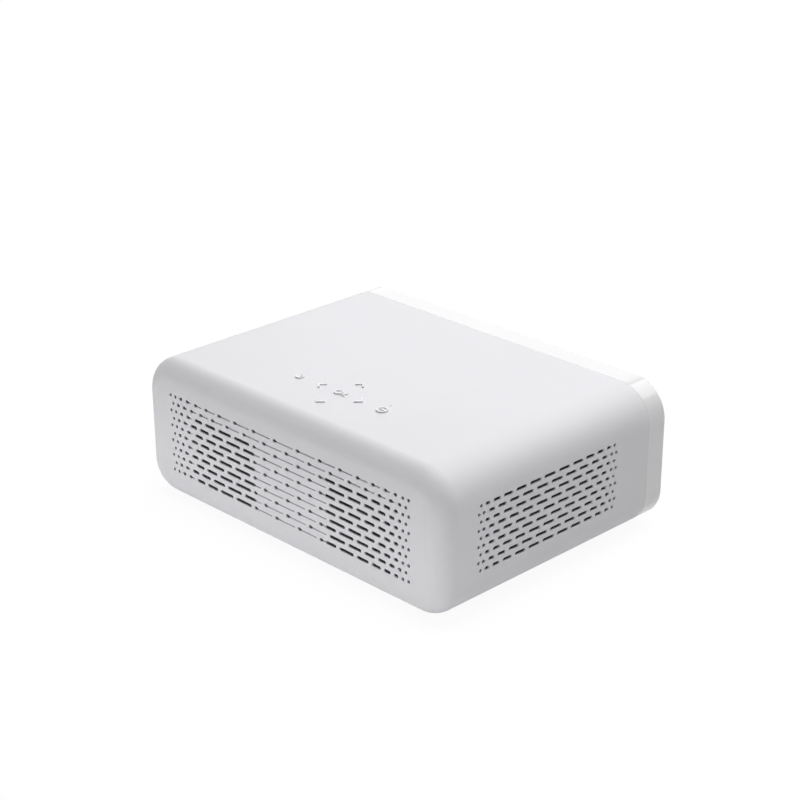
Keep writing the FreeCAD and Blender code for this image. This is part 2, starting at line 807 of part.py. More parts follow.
side_fan_size = 50.0
rear_fan_size = 60.0
fan_thick = 15.0
rear_fan_x = -78.0
side_fan_x = -inner_side + 2.5


def side_fan(maker):
    """A part of the fan behind the side grille, which blows along X."""
    shape = turn_to(maker(side_fan_size, fan_thick), X_AXIS)
    shape.translate(V(side_fan_x, side_grille_y, middle))
    return shape


def rear_fan(maker):
    """A part of the fan behind the rear grille."""
    shape = turn_to(maker(rear_fan_size, fan_thick), -Y_AXIS)
    shape.translate(V(rear_fan_x, inner_rear - 1.3, middle))
    return shape


def speakers():
    """Two small drivers behind the left-hand window, cones facing out."""
    profile = [(0, 3.4), (4.5, 3.4), (13.5, 0.9), (14.2, 0), (16, 0), (16, 2.2), (14.5, 2.4)]
    profile += [(10.5, 8), (10.5, 15), (0, 15)]
    y = inner_rear - 1.3
    return Part.makeCompound([turned(profile, (x, y, middle), V(0, -1, 0)) for x in (45.5, 79.0)])


# ---------------------------------------------------------------- boards and sockets
def main_board():
    board = box(6, 125, -33, 75, board_z, board_z + 1.6)
    chips = [(40, 10, 24, 24, 2.2), (76, 30, 15, 15, 1.6), (28, 48, 12, 18, 1.4), (92, -18, 10, 10, 1.4)]
    solids = [board]
    for x, y, dx, dy, high in chips:
        solids.append(centred_box(x, y, board_z + 1.5 + high / 2, dx, dy, high))
    fins = [centred_box(34 + 3 * i, 10, board_z + 6.5, 1.2, 22, 7) for i in range(5)]
    return joined(solids + fins)


def power_supply():
    board = box(-108, -8, 12, 76, supply_z, supply_z + 1.6)
    z = supply_z + 1.5
    solids = [board, box(-72, -50, 30, 52, z, z + 7.6), box(-98, -84, 24, 60, z, z + 6)]
    for x, y in ((-34, 30), (-34, 46), (-22, 62)):
        solids.append(rod(5.0, (x, y, z), Z_AXIS, 7.4))
    return joined(solids)


def lined_socket(name, half_outline, depth):
    """A socket block that ends just inside the plate's face, with a cavity of the given half outline."""
    y, wide, high = sockets[name]
    length = 18.0
    back = socket_face - length
    block = centred_box(socket_face - length / 2, y, socket_z, length, wide, high)
    foot = box(back, back + length / 2, y - wide / 2, y + wide / 2, board_z + 1.7, socket_z)
    mirrored = [(-u, v) for u, v in reversed(half_outline)]
    points = [V(socket_face + 1, y + u, socket_z + v) for u, v in half_outline + mirrored]
    return joined([block, foot]).cut(prism(points, V(-depth - 1, 0, 0)))


def hdmi_socket():
    """The cavity is narrower at its lower corners."""
    return lined_socket("hdmi_socket", [(7.0, 2.35), (7.0, -1.15), (5.8, -2.35)], 10)


def usb_socket():
    return lined_socket("usb_socket", [(6.3, 2.7), (6.3, -2.7)], 12)


def mains_inlet():
    """A two-pin inlet, bevelled at its ends, with the pins a little short of its face."""
    y = sockets["mains_inlet"][0]
    half_outline = [(6.3, 4.3), (8.3, 2.3), (8.3, -2.3), (6.3, -4.3)]
    socket = lined_socket("mains_inlet", half_outline, 12)
    pins = [rod(1.2, (socket_face - 13, y + s * 4.3, socket_z), X_AXIS, 10) for s in (-1, 1)]
    return joined([socket] + pins)


def audio_jacks():
    """Two jacks with square faces, side by side in one window of the plate."""
    wide, high = jack_block
    solids = []
    for y in jack_places:
        block = centred_box(socket_face - 9, y, socket_z, 18, wide, high)
        foot = box(socket_face - 18, socket_face - 9, y - 5, y + 5, board_z + 1.7, socket_z)
        jack = joined([block, foot])
        solids.append(jack.cut(rod(1.8, (socket_face - 15, y, socket_z), X_AXIS, 16)))
    return Part.makeCompound(solids)


# ---------------------------------------------------------------- gears
def tooth_points(teeth, radius_at, half_at):
    """One tooth's corners as (radius, angle), root to tip and back."""
    return [
        (radius_at[0], -half_at[0]), (radius_at[1], -half_at[1]),
        (radius_at[1], half_at[1]), (radius_at[0], half_at[0]),
    ]


def gear(teeth, module, centre, z0, z1, first_tooth):
    """A spur gear with straight-sided teeth and running play; first_tooth is in degrees."""
    pitch = teeth * module / 2
    root = pitch - 1.15 * module
    tip = pitch + 0.85 * module
    play = 0.08 * module
    slope = math.tan(math.radians(20))
    half_root = (math.pi / 4 * module - play + 1.15 * module * slope * 0.8) / root
    half_tip = (math.pi / 4 * module - play - 0.85 * module * slope) / tip
    points = []
    for i in range(teeth):
        middle_angle = math.radians(first_tooth) + 2 * math.pi * i / teeth
        for radius, angle in tooth_points(teeth, (root, tip), (half_root, half_tip)):
            a = middle_angle + angle
            points.append(V(centre[0] + radius * math.cos(a), centre[1] + radius * math.sin(a), z0))
    return prism(points, V(0, 0, z1 - z0))


def rack(x, y0, y1, gap_y, module, z0, z1, back):
    """A rack along Y with its pitch line at x, teeth towards +X, and a gap centred on gap_y."""
    pitch = math.pi * module
    slope = math.tan(math.radians(20))
    play = 0.08 * module
    half_tip = pitch / 4 - play - 0.85 * module * slope
    half_root = pitch / 4 - play + 1.15 * module * slope
    first = math.ceil((y0 - gap_y) / pitch - 0.5 + 0.3)
    last = math.floor((y1 - gap_y) / pitch - 0.5 - 0.3)
    points = [V(x - back, y0, z0)]
    points.append(V(x - 1.15 * module, y0, z0))
    for i in range(first, last + 1):
        y = gap_y + (i + 0.5) * pitch
        points += [V(x - 1.15 * module, y - half_root, z0), V(x + 0.85 * module, y - half_tip, z0)]
        points += [V(x + 0.85 * module, y + half_tip, z0), V(x - 1.15 * module, y + half_root, z0)]
    points += [V(x - 1.15 * module, y1, z0), V(x - back, y1, z0)]
    return prism(points, V(0, 0, z1 - z0))


pinion_radius = pinion_teeth * gear_module / 2
wheel_radius = wheel_teeth * gear_module / 2
small_radius = small_teeth * gear_module / 2
tray_gear_place = (rack_x + pinion_radius, tray_gear_y)
mesh_play = 0.15
pulley_place = (tray_gear_place[0] + wheel_radius + small_radius + mesh_play, tray_gear_y)
motor_place = (motor_x, tray_gear_y)
post_radius = 2.0


def tray_gear():
    """The pinion that drives the tray's rack, on a larger wheel."""
    x, y = tray_gear_place
    pinion = gear(pinion_teeth, gear_module, (x, y), 60.9, 65.4, 180)
    wheel = gear(wheel_teeth, gear_module, (x, y), 56.5, 61.0, 0)
    return joined([pinion, wheel]).cut(rod(post_radius + run_fit, (x, y, 50), Z_AXIS, 20))


def drive_pulley():
    """A small gear on top of the large belt pulley."""
    x, y = pulley_place
    small = gear(small_teeth, gear_module, (x, y), 55.5, 61.0, 180 + 180 / small_teeth)
    pulley = turned(
        [(0, -1.8), (pulley_radius + 1.2, -1.8), (pulley_radius - 0.1, -0.9), (pulley_radius - 0.1, 0.9),
         (pulley_radius + 1.2, 1.8), (pulley_radius + 1.2, 2.2), (0, 2.4)],
        (x, y, belt_z + 0.2), Z_AXIS,
    )
    return joined([small, pulley]).cut(rod(post_radius + run_fit, (x, y, 45), Z_AXIS, 25))


def motor_pulley():
    x, y = motor_place
    r = motor_pulley_radius
    return turned(
        [(0.75 + run_fit, -2), (r + 1.2, -2), (r - 0.1, -0.9), (r - 0.1, 0.9), (r + 1.2, 2), (r + 1.2, 3),
         (0.75 + run_fit, 3)],
        (x, y, belt_z + 0.2), Z_AXIS,
    )


def drive_belt():
    """A square belt in a plane loop, tangent to both pulleys."""
    thick = 1.1
    loops = []
    for extra in (0.0, thick):
        big = pulley_radius + extra
        small = motor_pulley_radius + extra
        span = motor_place[0] - pulley_place[0]
        lean = math.acos((big - small) / span)
        a = V(pulley_place[0] + big * math.cos(lean), tray_gear_y + big * math.sin(lean), belt_z - 0.35)
        b = V(motor_x + small * math.cos(lean), tray_gear_y + small * math.sin(lean), belt_z - 0.35)
        c = V(b.x, 2 * tray_gear_y - b.y, b.z)
        d = V(a.x, 2 * tray_gear_y - a.y, a.z)
        nose = V(motor_x + small, tray_gear_y, b.z)
        tail = V(pulley_place[0] - big, tray_gear_y, b.z)
        edges = [Part.makeLine(a, b), Part.Arc(b, nose, c).toShape(), Part.makeLine(c, d)]
        edges.append(Part.Arc(d, tail, a).toShape())
        loops.append(Part.Face(Part.Wire(edges)).extrude(V(0, 0, thick)))
    return loops[1].cut(loops[0])


def loading_motor():
    """A small can motor whose shaft comes up through the loader's floor."""
    x, y = motor_place
    can = [(0, 29.5), (8.5, 29.5), (10, 31), (10, 48), (3, 48), (3, 48.7)]
    shaft = [(0.75, 48.7), (0.75, 55.6), (0, 55.6)]
    return turned(can + shaft, (x, y, 0), Z_AXIS)


# ---------------------------------------------------------------- disc player
def loader_frame():
    """The moulded tub: floor, side walls with the tray's runners, posts for the gears and the bridge."""
    y0 = tray_front_y + 2
    y1 = 80.0
    half = tray_width / 2
    floor_plate = box(tray_x - half - 3.5, tray_x + half + 3.5, y0, y1, frame_floor, frame_floor + 2)
    solids = [floor_plate]
    for side in (-1, 1):
        wall_x = tray_x + side * (half + 2.25)
        solids.append(centred_box(wall_x, (y0 + y1) / 2, 67.5, 2.5, y1 - y0, 35))
        runner_x = tray_x + side * (half - 0.9)
        solids.append(centred_box(runner_x, (y0 + y1) / 2, tray_floor - 1.05, 4.4, y1 - y0, 1.5))
        solids.append(centred_box(runner_x + side * 0.6, (y0 + y1) / 2, tray_top + 0.95, 3.4, y1 - y0, 1.3))
    for place, high in ((tray_gear_place, 65.2), (pulley_place, 60.5)):
        solids.append(rod(post_radius, (*place, frame_floor + 1), Z_AXIS, high - frame_floor - 1))
    solids.append(rod(3.6, (*tray_gear_place, frame_floor + 1), Z_AXIS, 56.4 - frame_floor - 1))
    for side in (-1, 1):
        solids.append(centred_box(tray_x + side * 26, 60, 54.5, 3, 8, 8))
    frame = joined(solids)
    window = box(tray_x - 29, tray_x + 31, -52, 66, 40, frame_floor + 5)
    window = cut_all(window, [centred_box(tray_x + s * 26, 60, 50, 3, 8, 30) for s in (-1, 1)])
    window = window.cut(box(tray_x - 30, tray_x + 32, 64, 70, 30, 60))
    axle = rod(1.5 + 0.02, (tray_x - 30, 60, 56), X_AXIS, 60)
    shaft = rod(3.4, (*motor_place, 40), Z_AXIS, 15)
    return cut_all(frame, [window, axle, shaft])


def disc_tray():
    """The disc drawer: two round steps, an open slot for the turntable and pick-up, and a rack."""
    half = tray_width / 2
    body = box(tray_x - half, tray_x + half, tray_front_y, tray_rear_y, tray_floor, tray_top)
    body = rounded(body, 4, lambda c: c.y > tray_rear_y - 0.01 and abs(c.x - tray_x) > half - 0.01)
    bowl = [(0, 3), (disc_radius + 1.0, 3), (disc_radius + 1.8, 6.1), (0, 6.1)]
    big = turned(bowl, (tray_x, disc_y, tray_floor), Z_AXIS)
    small = rod(41.0, (tray_x, disc_y, tray_floor + 2), Z_AXIS, 5)
    slot_half = 17.5
    slot = box(tray_x - slot_half, tray_x + slot_half, disc_y, tray_rear_y + 1, 60, 80)
    nose = rod(slot_half, (tray_x, disc_y, 60), Z_AXIS, 20)
    finger = [centred_box(tray_x + s * 46, disc_y - 46, tray_top, 26, 16, 6.6) for s in (-1, 1)]
    hollow = [box(rack_x + 6, tray_x - slot_half - 4, 45, 70, tray_floor - 1, tray_top - 2)]
    hollow.append(box(tray_x + slot_half + 4, tray_x + half - 6, 45, 70, tray_floor - 1, tray_top - 2))
    body = cut_all(body, [big, small, slot, nose] + finger + hollow)
    rack_low = 61.2
    rack_back = 4.6
    teeth = rack(rack_x, tray_gear_y - 12, tray_rear_y - 2, tray_gear_y, gear_module,
                 rack_low, tray_floor + 0.1, rack_back)
    return joined([body, teeth])


def tray_front():
    """The door on the front of the tray, flush in the panel."""
    y0 = panel_front - 0.5
    y1 = tray_front_y - 0.05
    half = door_width / 2
    door = box(tray_x - half, tray_x + half, y0, y1, door_low, door_high)
    door = rounded(door, 1.5, lambda c: abs(c.y - y0) < 0.01)
    hollow = box(tray_x - half + 3, tray_x + half - 3, y1 - 1.5, y1 + 1, door_low + 2, door_high - 2)
    bar = box(tray_x - 50, tray_x + 50, y0 + 1, y1, tray_floor + 0.1, tray_top - 0.1)
    return joined([door.cut(hollow), bar])


def clamp_bridge():
    """The cross-piece over the tray that carries the clamp, with a round seat in the middle."""
    half = tray_width / 2 + 3.5
    deck = box(tray_x - half, tray_x + half, disc_y - 24, disc_y + 24, 85.1, 87.3)
    quarters = [(-1, -1), (-1, 1), (1, -1), (1, 1)]
    deck = cut_all(deck, [centred_box(tray_x + s * 44, disc_y + t * 24, 86, 44, 20, 10) for s, t in quarters])
    seat_z = 75.7
    rim = [(19.5, 0), (21, 0), (21, 9.5), (22, 9.5), (22, 11.6), (19.5, 11.6)]
    drum = turned(rim, (tray_x, disc_y, seat_z), Z_AXIS)
    seat = tube(20, 13.5, (tray_x, disc_y, seat_z), Z_AXIS, 1.2)
    bore = rod(19.5, (tray_x, disc_y, 77), Z_AXIS, 20)
    return joined([deck.cut(bore), drum, seat])


def clamp_puck():
    """The disc that presses a record onto the turntable; its flange hangs in the bridge's seat."""
    profile = [(0, 0.6), (8.2, 0.6), (8.6, 0), (12.6, 0), (12.6, 4.2)]
    profile += [(18.4, 4.2), (18.4, 5.6), (12, 5.6), (11, 9), (0, 9)]
    return turned(profile, (tray_x, disc_y, 73.1), Z_AXIS)


hinge_y = 60.0
hinge_z = 56.0


def traverse_plate():
    """The plate that carries spindle, pick-up and rods, pivoted at its rear so that it can drop."""
    deck = box(tray_x - 24.2, tray_x + 24.2, disc_y - 19, hinge_y + 2, 55, 57)
    wings = [box(tray_x + 20, tray_x + 30, y0, y1, 55, 57) for y0, y1 in ((-41, -22), (46, 53))]
    opening = box(tray_x - 15, tray_x + 15, disc_y + 14.5, 52, 50, 60)
    solids = [deck.cut(opening)] + wings
    solids.append(box(tray_x + 24.8, tray_x + 29.6, 49, 52, 56, 65))
    for side in (-1, 1):
        solids.append(centred_box(tray_x + side * 22.2, hinge_y, 56, 4.0, 6, 6))
        solids.append(rod(1.46, (tray_x + side * 25.4 - 2.2, hinge_y, hinge_z), X_AXIS, 4.4))
        for y in (disc_y + 12.5, 53.5):
            solids.append(centred_box(tray_x + side * rod_offset, y, 59.4, 6, 4, 5.4))
    cuts = [rod(1.5, (tray_x + s * rod_offset, disc_y + 10, rod_z), Y_AXIS, 50) for s in (-1, 1)]
    cuts.append(rod(11.0, (tray_x, disc_y, 50), Z_AXIS, 12))
    cuts.append(rod(screw_radius + run_fit, (tray_x + screw_offset, 40, screw_z), Y_AXIS, 20))
    return cut_all(joined(solids), cuts)


def spindle_motor():
    x, y = tray_x, disc_y
    profile = [(0, 52), (10.9, 52), (10.9, 57.1), (14, 57.1), (14, 61), (3, 61), (3, 61.6), (1.1, 61.6)]
    return turned(profile + [(1.1, 67.5), (0, 67.5)], (x, y, 0), Z_AXIS)


def turntable():
    """A flat seat for the disc with a tapered hub that centres it."""
    bore = 1.1 + run_fit
    profile = [(bore, 62.0), (6, 62.0), (6, 69.2), (15, 69.2), (15, 71), (7.4, 71), (7.4, 72), (5.6, 72.8)]
    profile += [(0, 72.8), (0, 67.8), (bore, 67.8)]
    return turned(profile, (tray_x, disc_y, 0), Z_AXIS)


def guide_rods():
    y = disc_y + 11
    return Part.makeCompound([
        rod(1.44, (tray_x + s * rod_offset, y, rod_z), Y_AXIS, 44.2) for s in (-1, 1)
    ])


sled_y = disc_y + 23.0


def laser_sled():
    """The pick-up on its two rods, with the objective on top and a nut on the lead screw."""
    y0 = sled_y - 8
    body = box(tray_x - 13, tray_x + 13, y0, y0 + 22, 57.6, 65.2)
    arms = [centred_box(tray_x + s * rod_offset, sled_y + 3, rod_z, 9, 14, 5.6) for s in (-1, 1)]
    links = [centred_box(tray_x + s * 14.5, sled_y + 3, rod_z + 0.4, 8, 10, 4.2) for s in (-1, 1)]
    nut = box(tray_x + 22, tray_x + 30, sled_y - 4, sled_y + 10, rod_z - 1.5, screw_z + 2.4)
    turret = turned([(0, 64.5), (7, 64.5), (6.4, 67.6), (3.4, 67.6), (3.4, 67.1), (2.6, 67.6), (0, 68.2)],
                    (tray_x, sled_y, 0), Z_AXIS)
    sled = joined([body, turret, nut] + arms + links)
    cuts = [rod(1.44 + run_fit, (tray_x + s * rod_offset, -60, rod_z), Y_AXIS, 200) for s in (-1, 1)]
    cuts.append(rod(screw_radius + run_fit, (tray_x + screw_offset, -60, screw_z), Y_AXIS, 200))
    return cut_all(sled, cuts)


def sled_motor():
    """A stepper that turns the lead screw beside the right-hand rod."""
    can = rod(3.6, (tray_x + screw_offset, disc_y - 12, screw_z), Y_AXIS, 14)
    return can.cut(rod(screw_radius + run_fit, (tray_x + screw_offset, disc_y - 2, screw_z), Y_AXIS, 10))


def lead_screw():
    return rod(screw_radius, (tray_x + screw_offset, disc_y - 1.8, screw_z), Y_AXIS, 81)


# ---------------------------------------------------------------- all sub-parts
def build_all():
    shapes = {
        "main_shell": main_shell(),
        "bottom_cover": bottom_cover(),
        "front_bezel": front_bezel(),
        "front_panel": front_panel(),
        "ir_window": ir_window(),
        "eject_key": eject_key(),
        "dust_filter": dust_filter(),
        "rear_mesh": rear_mesh(),
        "rubber_feet": rubber_feet(),
        "cover_screws": cover_screws(),
        "threaded_inserts": threaded_inserts(),
        "tilt_stand": tilt_stand(),
        "stand_pin": stand_pin(),
        "key_board": key_board(),
        "main_board": main_board(),
        "power_supply": power_supply(),
        "socket_plate": socket_plate(),
        "hdmi_socket": hdmi_socket(),
        "usb_socket": usb_socket(),
        "mains_inlet": mains_inlet(),
        "audio_jacks": audio_jacks(),
        "lens_mount": lens_mount(),
        "focus_ring": focus_ring(),
        "lens_barrel": lens_barrel(),
        "front_lens": front_lens(),
        "rear_lens": rear_lens(),
        "optics_housing": optics_housing(),
        "picture_panel": picture_panel(),
        "condenser_lens": condenser_lens(),
        "light_module": light_module(),
        "heat_sink": heat_sink(),
        "side_fan_frame": side_fan(fan_frame),
        "side_fan_rotor": side_fan(fan_rotor),
        "rear_fan_frame": rear_fan(fan_frame),
        "rear_fan_rotor": rear_fan(fan_rotor),
        "speakers": speakers(),
        "loader_frame": loader_frame(),
        "clamp_bridge": clamp_bridge(),
        "clamp_puck": clamp_puck(),
        "loading_motor": loading_motor(),
        "motor_pulley": motor_pulley(),
        "drive_belt": drive_belt(),
        "drive_pulley": drive_pulley(),
        "tray_gear": tray_gear(),
        "disc_tray": disc_tray(),
        "tray_front": tray_front(),
        "traverse_plate": traverse_plate(),
        "spindle_motor": spindle_motor(),
        "turntable": turntable(),
        "guide_rods": guide_rods(),
        "laser_sled": laser_sled(),
        "sled_motor": sled_motor(),
        "lead_screw": lead_screw(),
    }
    for name in top_keys:
        shapes[name] = top_key(name)
    return shapes


for node, solid in build_all().items():
    write(node, solid)
    state = "valid" if solid.isValid() else "NOT VALID"
    print(node, len(solid.Solids), state, round(solid.Volume / 1000, 2))
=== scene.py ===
import math

import bmesh
import bpy
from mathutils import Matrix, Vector


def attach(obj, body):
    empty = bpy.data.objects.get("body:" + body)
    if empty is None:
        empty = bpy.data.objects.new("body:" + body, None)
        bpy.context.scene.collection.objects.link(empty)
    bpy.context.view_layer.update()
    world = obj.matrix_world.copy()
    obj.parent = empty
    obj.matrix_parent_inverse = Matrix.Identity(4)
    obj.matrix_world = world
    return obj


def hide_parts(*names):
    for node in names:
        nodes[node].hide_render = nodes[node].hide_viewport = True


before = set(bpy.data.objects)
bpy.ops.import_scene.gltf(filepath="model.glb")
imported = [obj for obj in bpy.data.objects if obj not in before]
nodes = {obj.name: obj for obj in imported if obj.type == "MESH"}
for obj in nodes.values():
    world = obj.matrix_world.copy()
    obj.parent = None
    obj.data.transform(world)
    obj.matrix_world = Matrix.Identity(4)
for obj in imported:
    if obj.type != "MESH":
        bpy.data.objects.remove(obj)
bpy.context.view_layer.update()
mm = 0.001
print("frame loaded,", len(nodes), "nodes")


# small helpers: places are in millimetres

def only(obj):
    # select this piece and nothing else
    bpy.ops.object.select_all(action="DESELECT")
    obj.select_set(True)
    bpy.context.view_layer.objects.active = obj


def settle(name):
    # name the new primitive and put its place into its mesh
    obj = bpy.context.active_object
    obj.name = name
    bpy.ops.object.transform_apply(location=True, rotation=True, scale=True)
    return obj


def addBox(name, low, high):
    bpy.ops.object.select_all(action="DESELECT")
    centre = [(a + b) / 2 * mm for a, b in zip(low, high)]
    size = [(b - a) * mm for a, b in zip(low, high)]
    bpy.ops.mesh.primitive_cube_add(size=1, location=centre, scale=size)
    return settle(name)


def addRod(name, radius, start, end, sides=32):
    bpy.ops.object.select_all(action="DESELECT")
    a = Vector(start) * mm
    b = Vector(end) * mm
    turn = (b - a).to_track_quat("Z", "Y").to_euler()
    bpy.ops.mesh.primitive_cylinder_add(
        vertices=sides, radius=radius * mm, depth=(b - a).length, location=(a + b) / 2, rotation=turn)
    return settle(name)


def startEdit(obj):
    only(obj)
    bpy.ops.object.mode_set(mode="EDIT")


def endEdit():
    bpy.ops.object.mode_set(mode="OBJECT")


def pick(kind, chosen):
    # chosen gets the middle of each part in mm, and an edge's or a face's direction
    bpy.ops.mesh.select_mode(type=kind)
    bpy.ops.mesh.select_all(action="DESELECT")
    mesh = bmesh.from_edit_mesh(bpy.context.edit_object.data)
    if kind == "VERT":
        found = [v for v in mesh.verts if chosen(v.co / mm)]
    elif kind == "EDGE":
        found = [e for e in mesh.edges if chosen((e.verts[0].co + e.verts[1].co) / 2 / mm,
                                                 (e.verts[1].co - e.verts[0].co).normalized())]
    else:
        found = [f for f in mesh.faces if chosen(f.calc_center_median() / mm, f.normal)]
    for part in found:
        part.select_set(True)
    bmesh.update_edit_mesh(bpy.context.edit_object.data)


def bevel(size, steps):
    bpy.ops.mesh.bevel(offset=size * mm, segments=steps, affect="EDGES", clamp_overlap=False)


def roundEdges(obj, chosen, size, steps):
    startEdit(obj)
    pick("EDGE", chosen)
    bevel(size, steps)
    endEdit()


def modify(obj, kind, **settings):
    only(obj)
    step = obj.modifiers.new(kind, kind)
    for key, value in settings.items():
        setattr(step, key, value)
    bpy.ops.object.modifier_apply(modifier=step.name)


def cutWith(obj, cutter):
    modify(obj, "BOOLEAN", operation="DIFFERENCE", solver="EXACT", object=cutter)
    bpy.data.objects.remove(cutter)


def copyOf(obj, name):
    twin = obj.copy()
    twin.data = obj.data.copy()
    twin.name = name
    bpy.context.scene.collection.objects.link(twin)
    return twin


def joinAll(pieces, name):
    bpy.ops.object.select_all(action="DESELECT")
    for piece in pieces:
        piece.select_set(True)
    bpy.context.view_layer.objects.active = pieces[0]
    if len(pieces) > 1:
        bpy.ops.object.join()
    return settle(name)


def smooth(obj, angle=32):
    # round faces read as round, flat ones stay flat
    only(obj)
    bpy.ops.object.shade_smooth_by_angle(angle=math.radians(angle))
    modify(obj, "WEIGHTED_NORMAL", keep_sharp=True, weight=100)


def growRing(old, new):
    # from one (radius, along) ring to the next; at radius 0 it closes in a point
    bpy.ops.mesh.extrude_edges_move(TRANSFORM_OT_translate={"value": (0, 0, (new[1] - old[1]) * mm)})
    if new[0] == 0:
        bpy.ops.mesh.merge(type="CENTER")
    else:
        bpy.ops.transform.resize(value=(new[0] / old[0], new[0] / old[0], 1))


def turned(name, profile, place, axis="z", sides=64):
    # a turned piece: a circle is extruded and scaled from point to point of its (radius, along) profile
    rings = list(profile)
    tip = rings.pop(0) if rings[0][0] == 0 else None
    bpy.ops.object.select_all(action="DESELECT")
    radius, along = rings[0]
    bpy.ops.mesh.primitive_circle_add(vertices=sides, radius=radius * mm, location=(0, 0, along * mm))
    piece = settle(name)
    startEdit(piece)
    bpy.ops.mesh.select_mode(type="EDGE")
    bpy.ops.mesh.select_all(action="SELECT")
    for old, new in zip(rings, rings[1:]):
        growRing(old, new)
    if tip:
        pick("EDGE", lambda m, d: abs(m.z - along) < 0.001 and abs(d.z) < 0.1
             and abs(math.hypot(m.x, m.y) / math.cos(math.pi / sides) - radius) < 0.001)
        growRing(rings[0], tip)
    bpy.ops.mesh.select_all(action="SELECT")
    bpy.ops.mesh.remove_doubles(threshold=0.000001)
    bpy.ops.mesh.normals_make_consistent(inside=False)
    endEdit()
    piece.rotation_euler = {"x": (0, math.pi / 2, 0), "y": (-math.pi / 2, 0, 0), "z": (0, 0, 0)}[axis]
    piece.location = [part * mm for part in place]
    only(piece)
    return settle(name)


def soften(obj, size, steps=2, angle=40):
    modify(obj, "BEVEL", width=size * mm, segments=steps, limit_method="ANGLE",
           angle_limit=math.radians(angle))


def finishPiece(obj, body, material, *replaced):
    obj.data.materials.clear()
    obj.data.materials.append(material)
    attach(obj, body)
    if replaced:
        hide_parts(*replaced)


# shader maths as plain expressions

class Value:
    # a socket whose number or colour changes over a surface
    def __init__(self, graph, socket):
        self.graph = graph
        self.socket = socket

    def math(self, operation, other):
        return self.graph.add("ShaderNodeMath", {"operation": operation}, {0: self, 1: other})

    def __add__(self, other):
        return self.math("ADD", other)

    __radd__ = __add__

    def __mul__(self, other):
        return self.math("MULTIPLY", other)

    __rmul__ = __mul__

    def __or__(self, other):
        return self.math("MAXIMUM", other)

    def between(self, low, high):
        # 0 at low, 1 at high
        return self.graph.add("ShaderNodeMapRange", {"interpolation_type": "SMOOTHSTEP"},
                              {"Value": self, "From Min": low, "From Max": high})


class Graph:
    # a node tree that is put together from values
    def __init__(self, tree):
        self.tree = tree

    def add(self, kind, settings=None, sockets=None, output=0):
        node = self.tree.nodes.new(kind)
        for key, value in (settings or {}).items():
            setattr(node, key, value)
        for key, value in (sockets or {}).items():
            if isinstance(value, Value):
                self.tree.links.new(value.socket, node.inputs[key])
            else:
                node.inputs[key].default_value = value
        return Value(self, node.outputs[output])

    def mixShaders(self, factor, first, second, output):
        mix = self.add("ShaderNodeMixShader", None, {0: factor, 1: first, 2: second})
        self.tree.links.new(mix.socket, self.tree.nodes[output].inputs["Surface"])


class Finish(Graph):
    # a material on one Principled shader
    def __init__(self, name, **constants):
        self.material = bpy.data.materials.new(name)
        self.material.use_nodes = True
        super().__init__(self.material.node_tree)
        self.shader = self.tree.nodes["Principled BSDF"]
        for key, value in constants.items():
            self.shader.inputs[key.replace("_", " ")].default_value = value

    def place(self):
        return self.add("ShaderNodeTexCoord", output="Object")

    def noise(self, scale, detail=3.0, rough=0.5):
        return self.add("ShaderNodeTexNoise", None,
                        {"Vector": self.place(), "Scale": scale, "Detail": detail, "Roughness": rough})

    def blend(self, factor, low, high):
        # a colour between two colours
        return self.add("ShaderNodeMix", {"data_type": "RGBA"}, {0: factor, 6: low, 7: high}, output=2)

    def bump(self, height, strength, distance):
        return self.add("ShaderNodeBump", None,
                        {"Height": height, "Strength": strength, "Distance": distance})

    def give(self, **links):
        for key, value in links.items():
            self.tree.links.new(value.socket, self.shader.inputs[key.replace("_", " ")])
        return self.material


def shade(colour, factor):
    return (colour[0] * factor, colour[1] * factor, colour[2] * factor, 1)


def mouldedPlastic(name, colour, rough, spread=0.03):
    # moulded plastic: fine spark-eroded grain, faint flow marks in its colour and sheen
    finish = Finish(name, IOR=1.5)
    flow = finish.noise(9, 4).between(0.3, 0.7)
    grit = finish.noise(2600, 2)
    tint = finish.blend(flow, shade(colour, 1 - spread), shade(colour, 1))
    sheen = 0.04 * flow + 0.05 * grit + (rough - 0.045)
    return finish.give(Base_Color=tint, Roughness=sheen, Normal=finish.bump(grit, 0.35, 0.00004))


def glossPlastic(name, colour, rough):
    # polished plastic with the slightest orange peel
    finish = Finish(name, IOR=1.52)
    peel = finish.noise(420, 2)
    drift = finish.noise(14, 3).between(0.3, 0.7)
    tint = finish.blend(drift, shade(colour, 0.98), shade(colour, 1))
    sheen = 0.04 * drift + rough
    return finish.give(Base_Color=tint, Roughness=sheen, Normal=finish.bump(peel, 0.12, 0.00003))


def metal(name, colour, rough):
    # brushed or turned metal: fine streaks in its sheen
    finish = Finish(name, Metallic=1.0)
    spot = finish.add("ShaderNodeMapping", None, {"Vector": finish.place(), "Scale": (40, 40, 900)})
    lines = finish.add("ShaderNodeTexNoise", None, {"Vector": spot, "Scale": 1.0, "Detail": 4.0})
    tint = finish.blend(lines, shade(colour, 0.86), shade(colour, 1))
    sheen = 0.18 * lines + rough
    return finish.give(Base_Color=tint, Roughness=sheen, Normal=finish.bump(lines, 0.2, 0.00003))


def rubberFinish(name, colour):
    finish = Finish(name, IOR=1.45)
    dust = finish.noise(70, 5).between(0.35, 0.75)
    grit = finish.noise(3200, 2)
    tint = finish.blend(dust, shade(colour, 1), shade(colour, 1.5))
    return finish.give(Base_Color=tint, Roughness=0.12 * dust + 0.7, Normal=finish.bump(grit, 0.6, 0.00006))


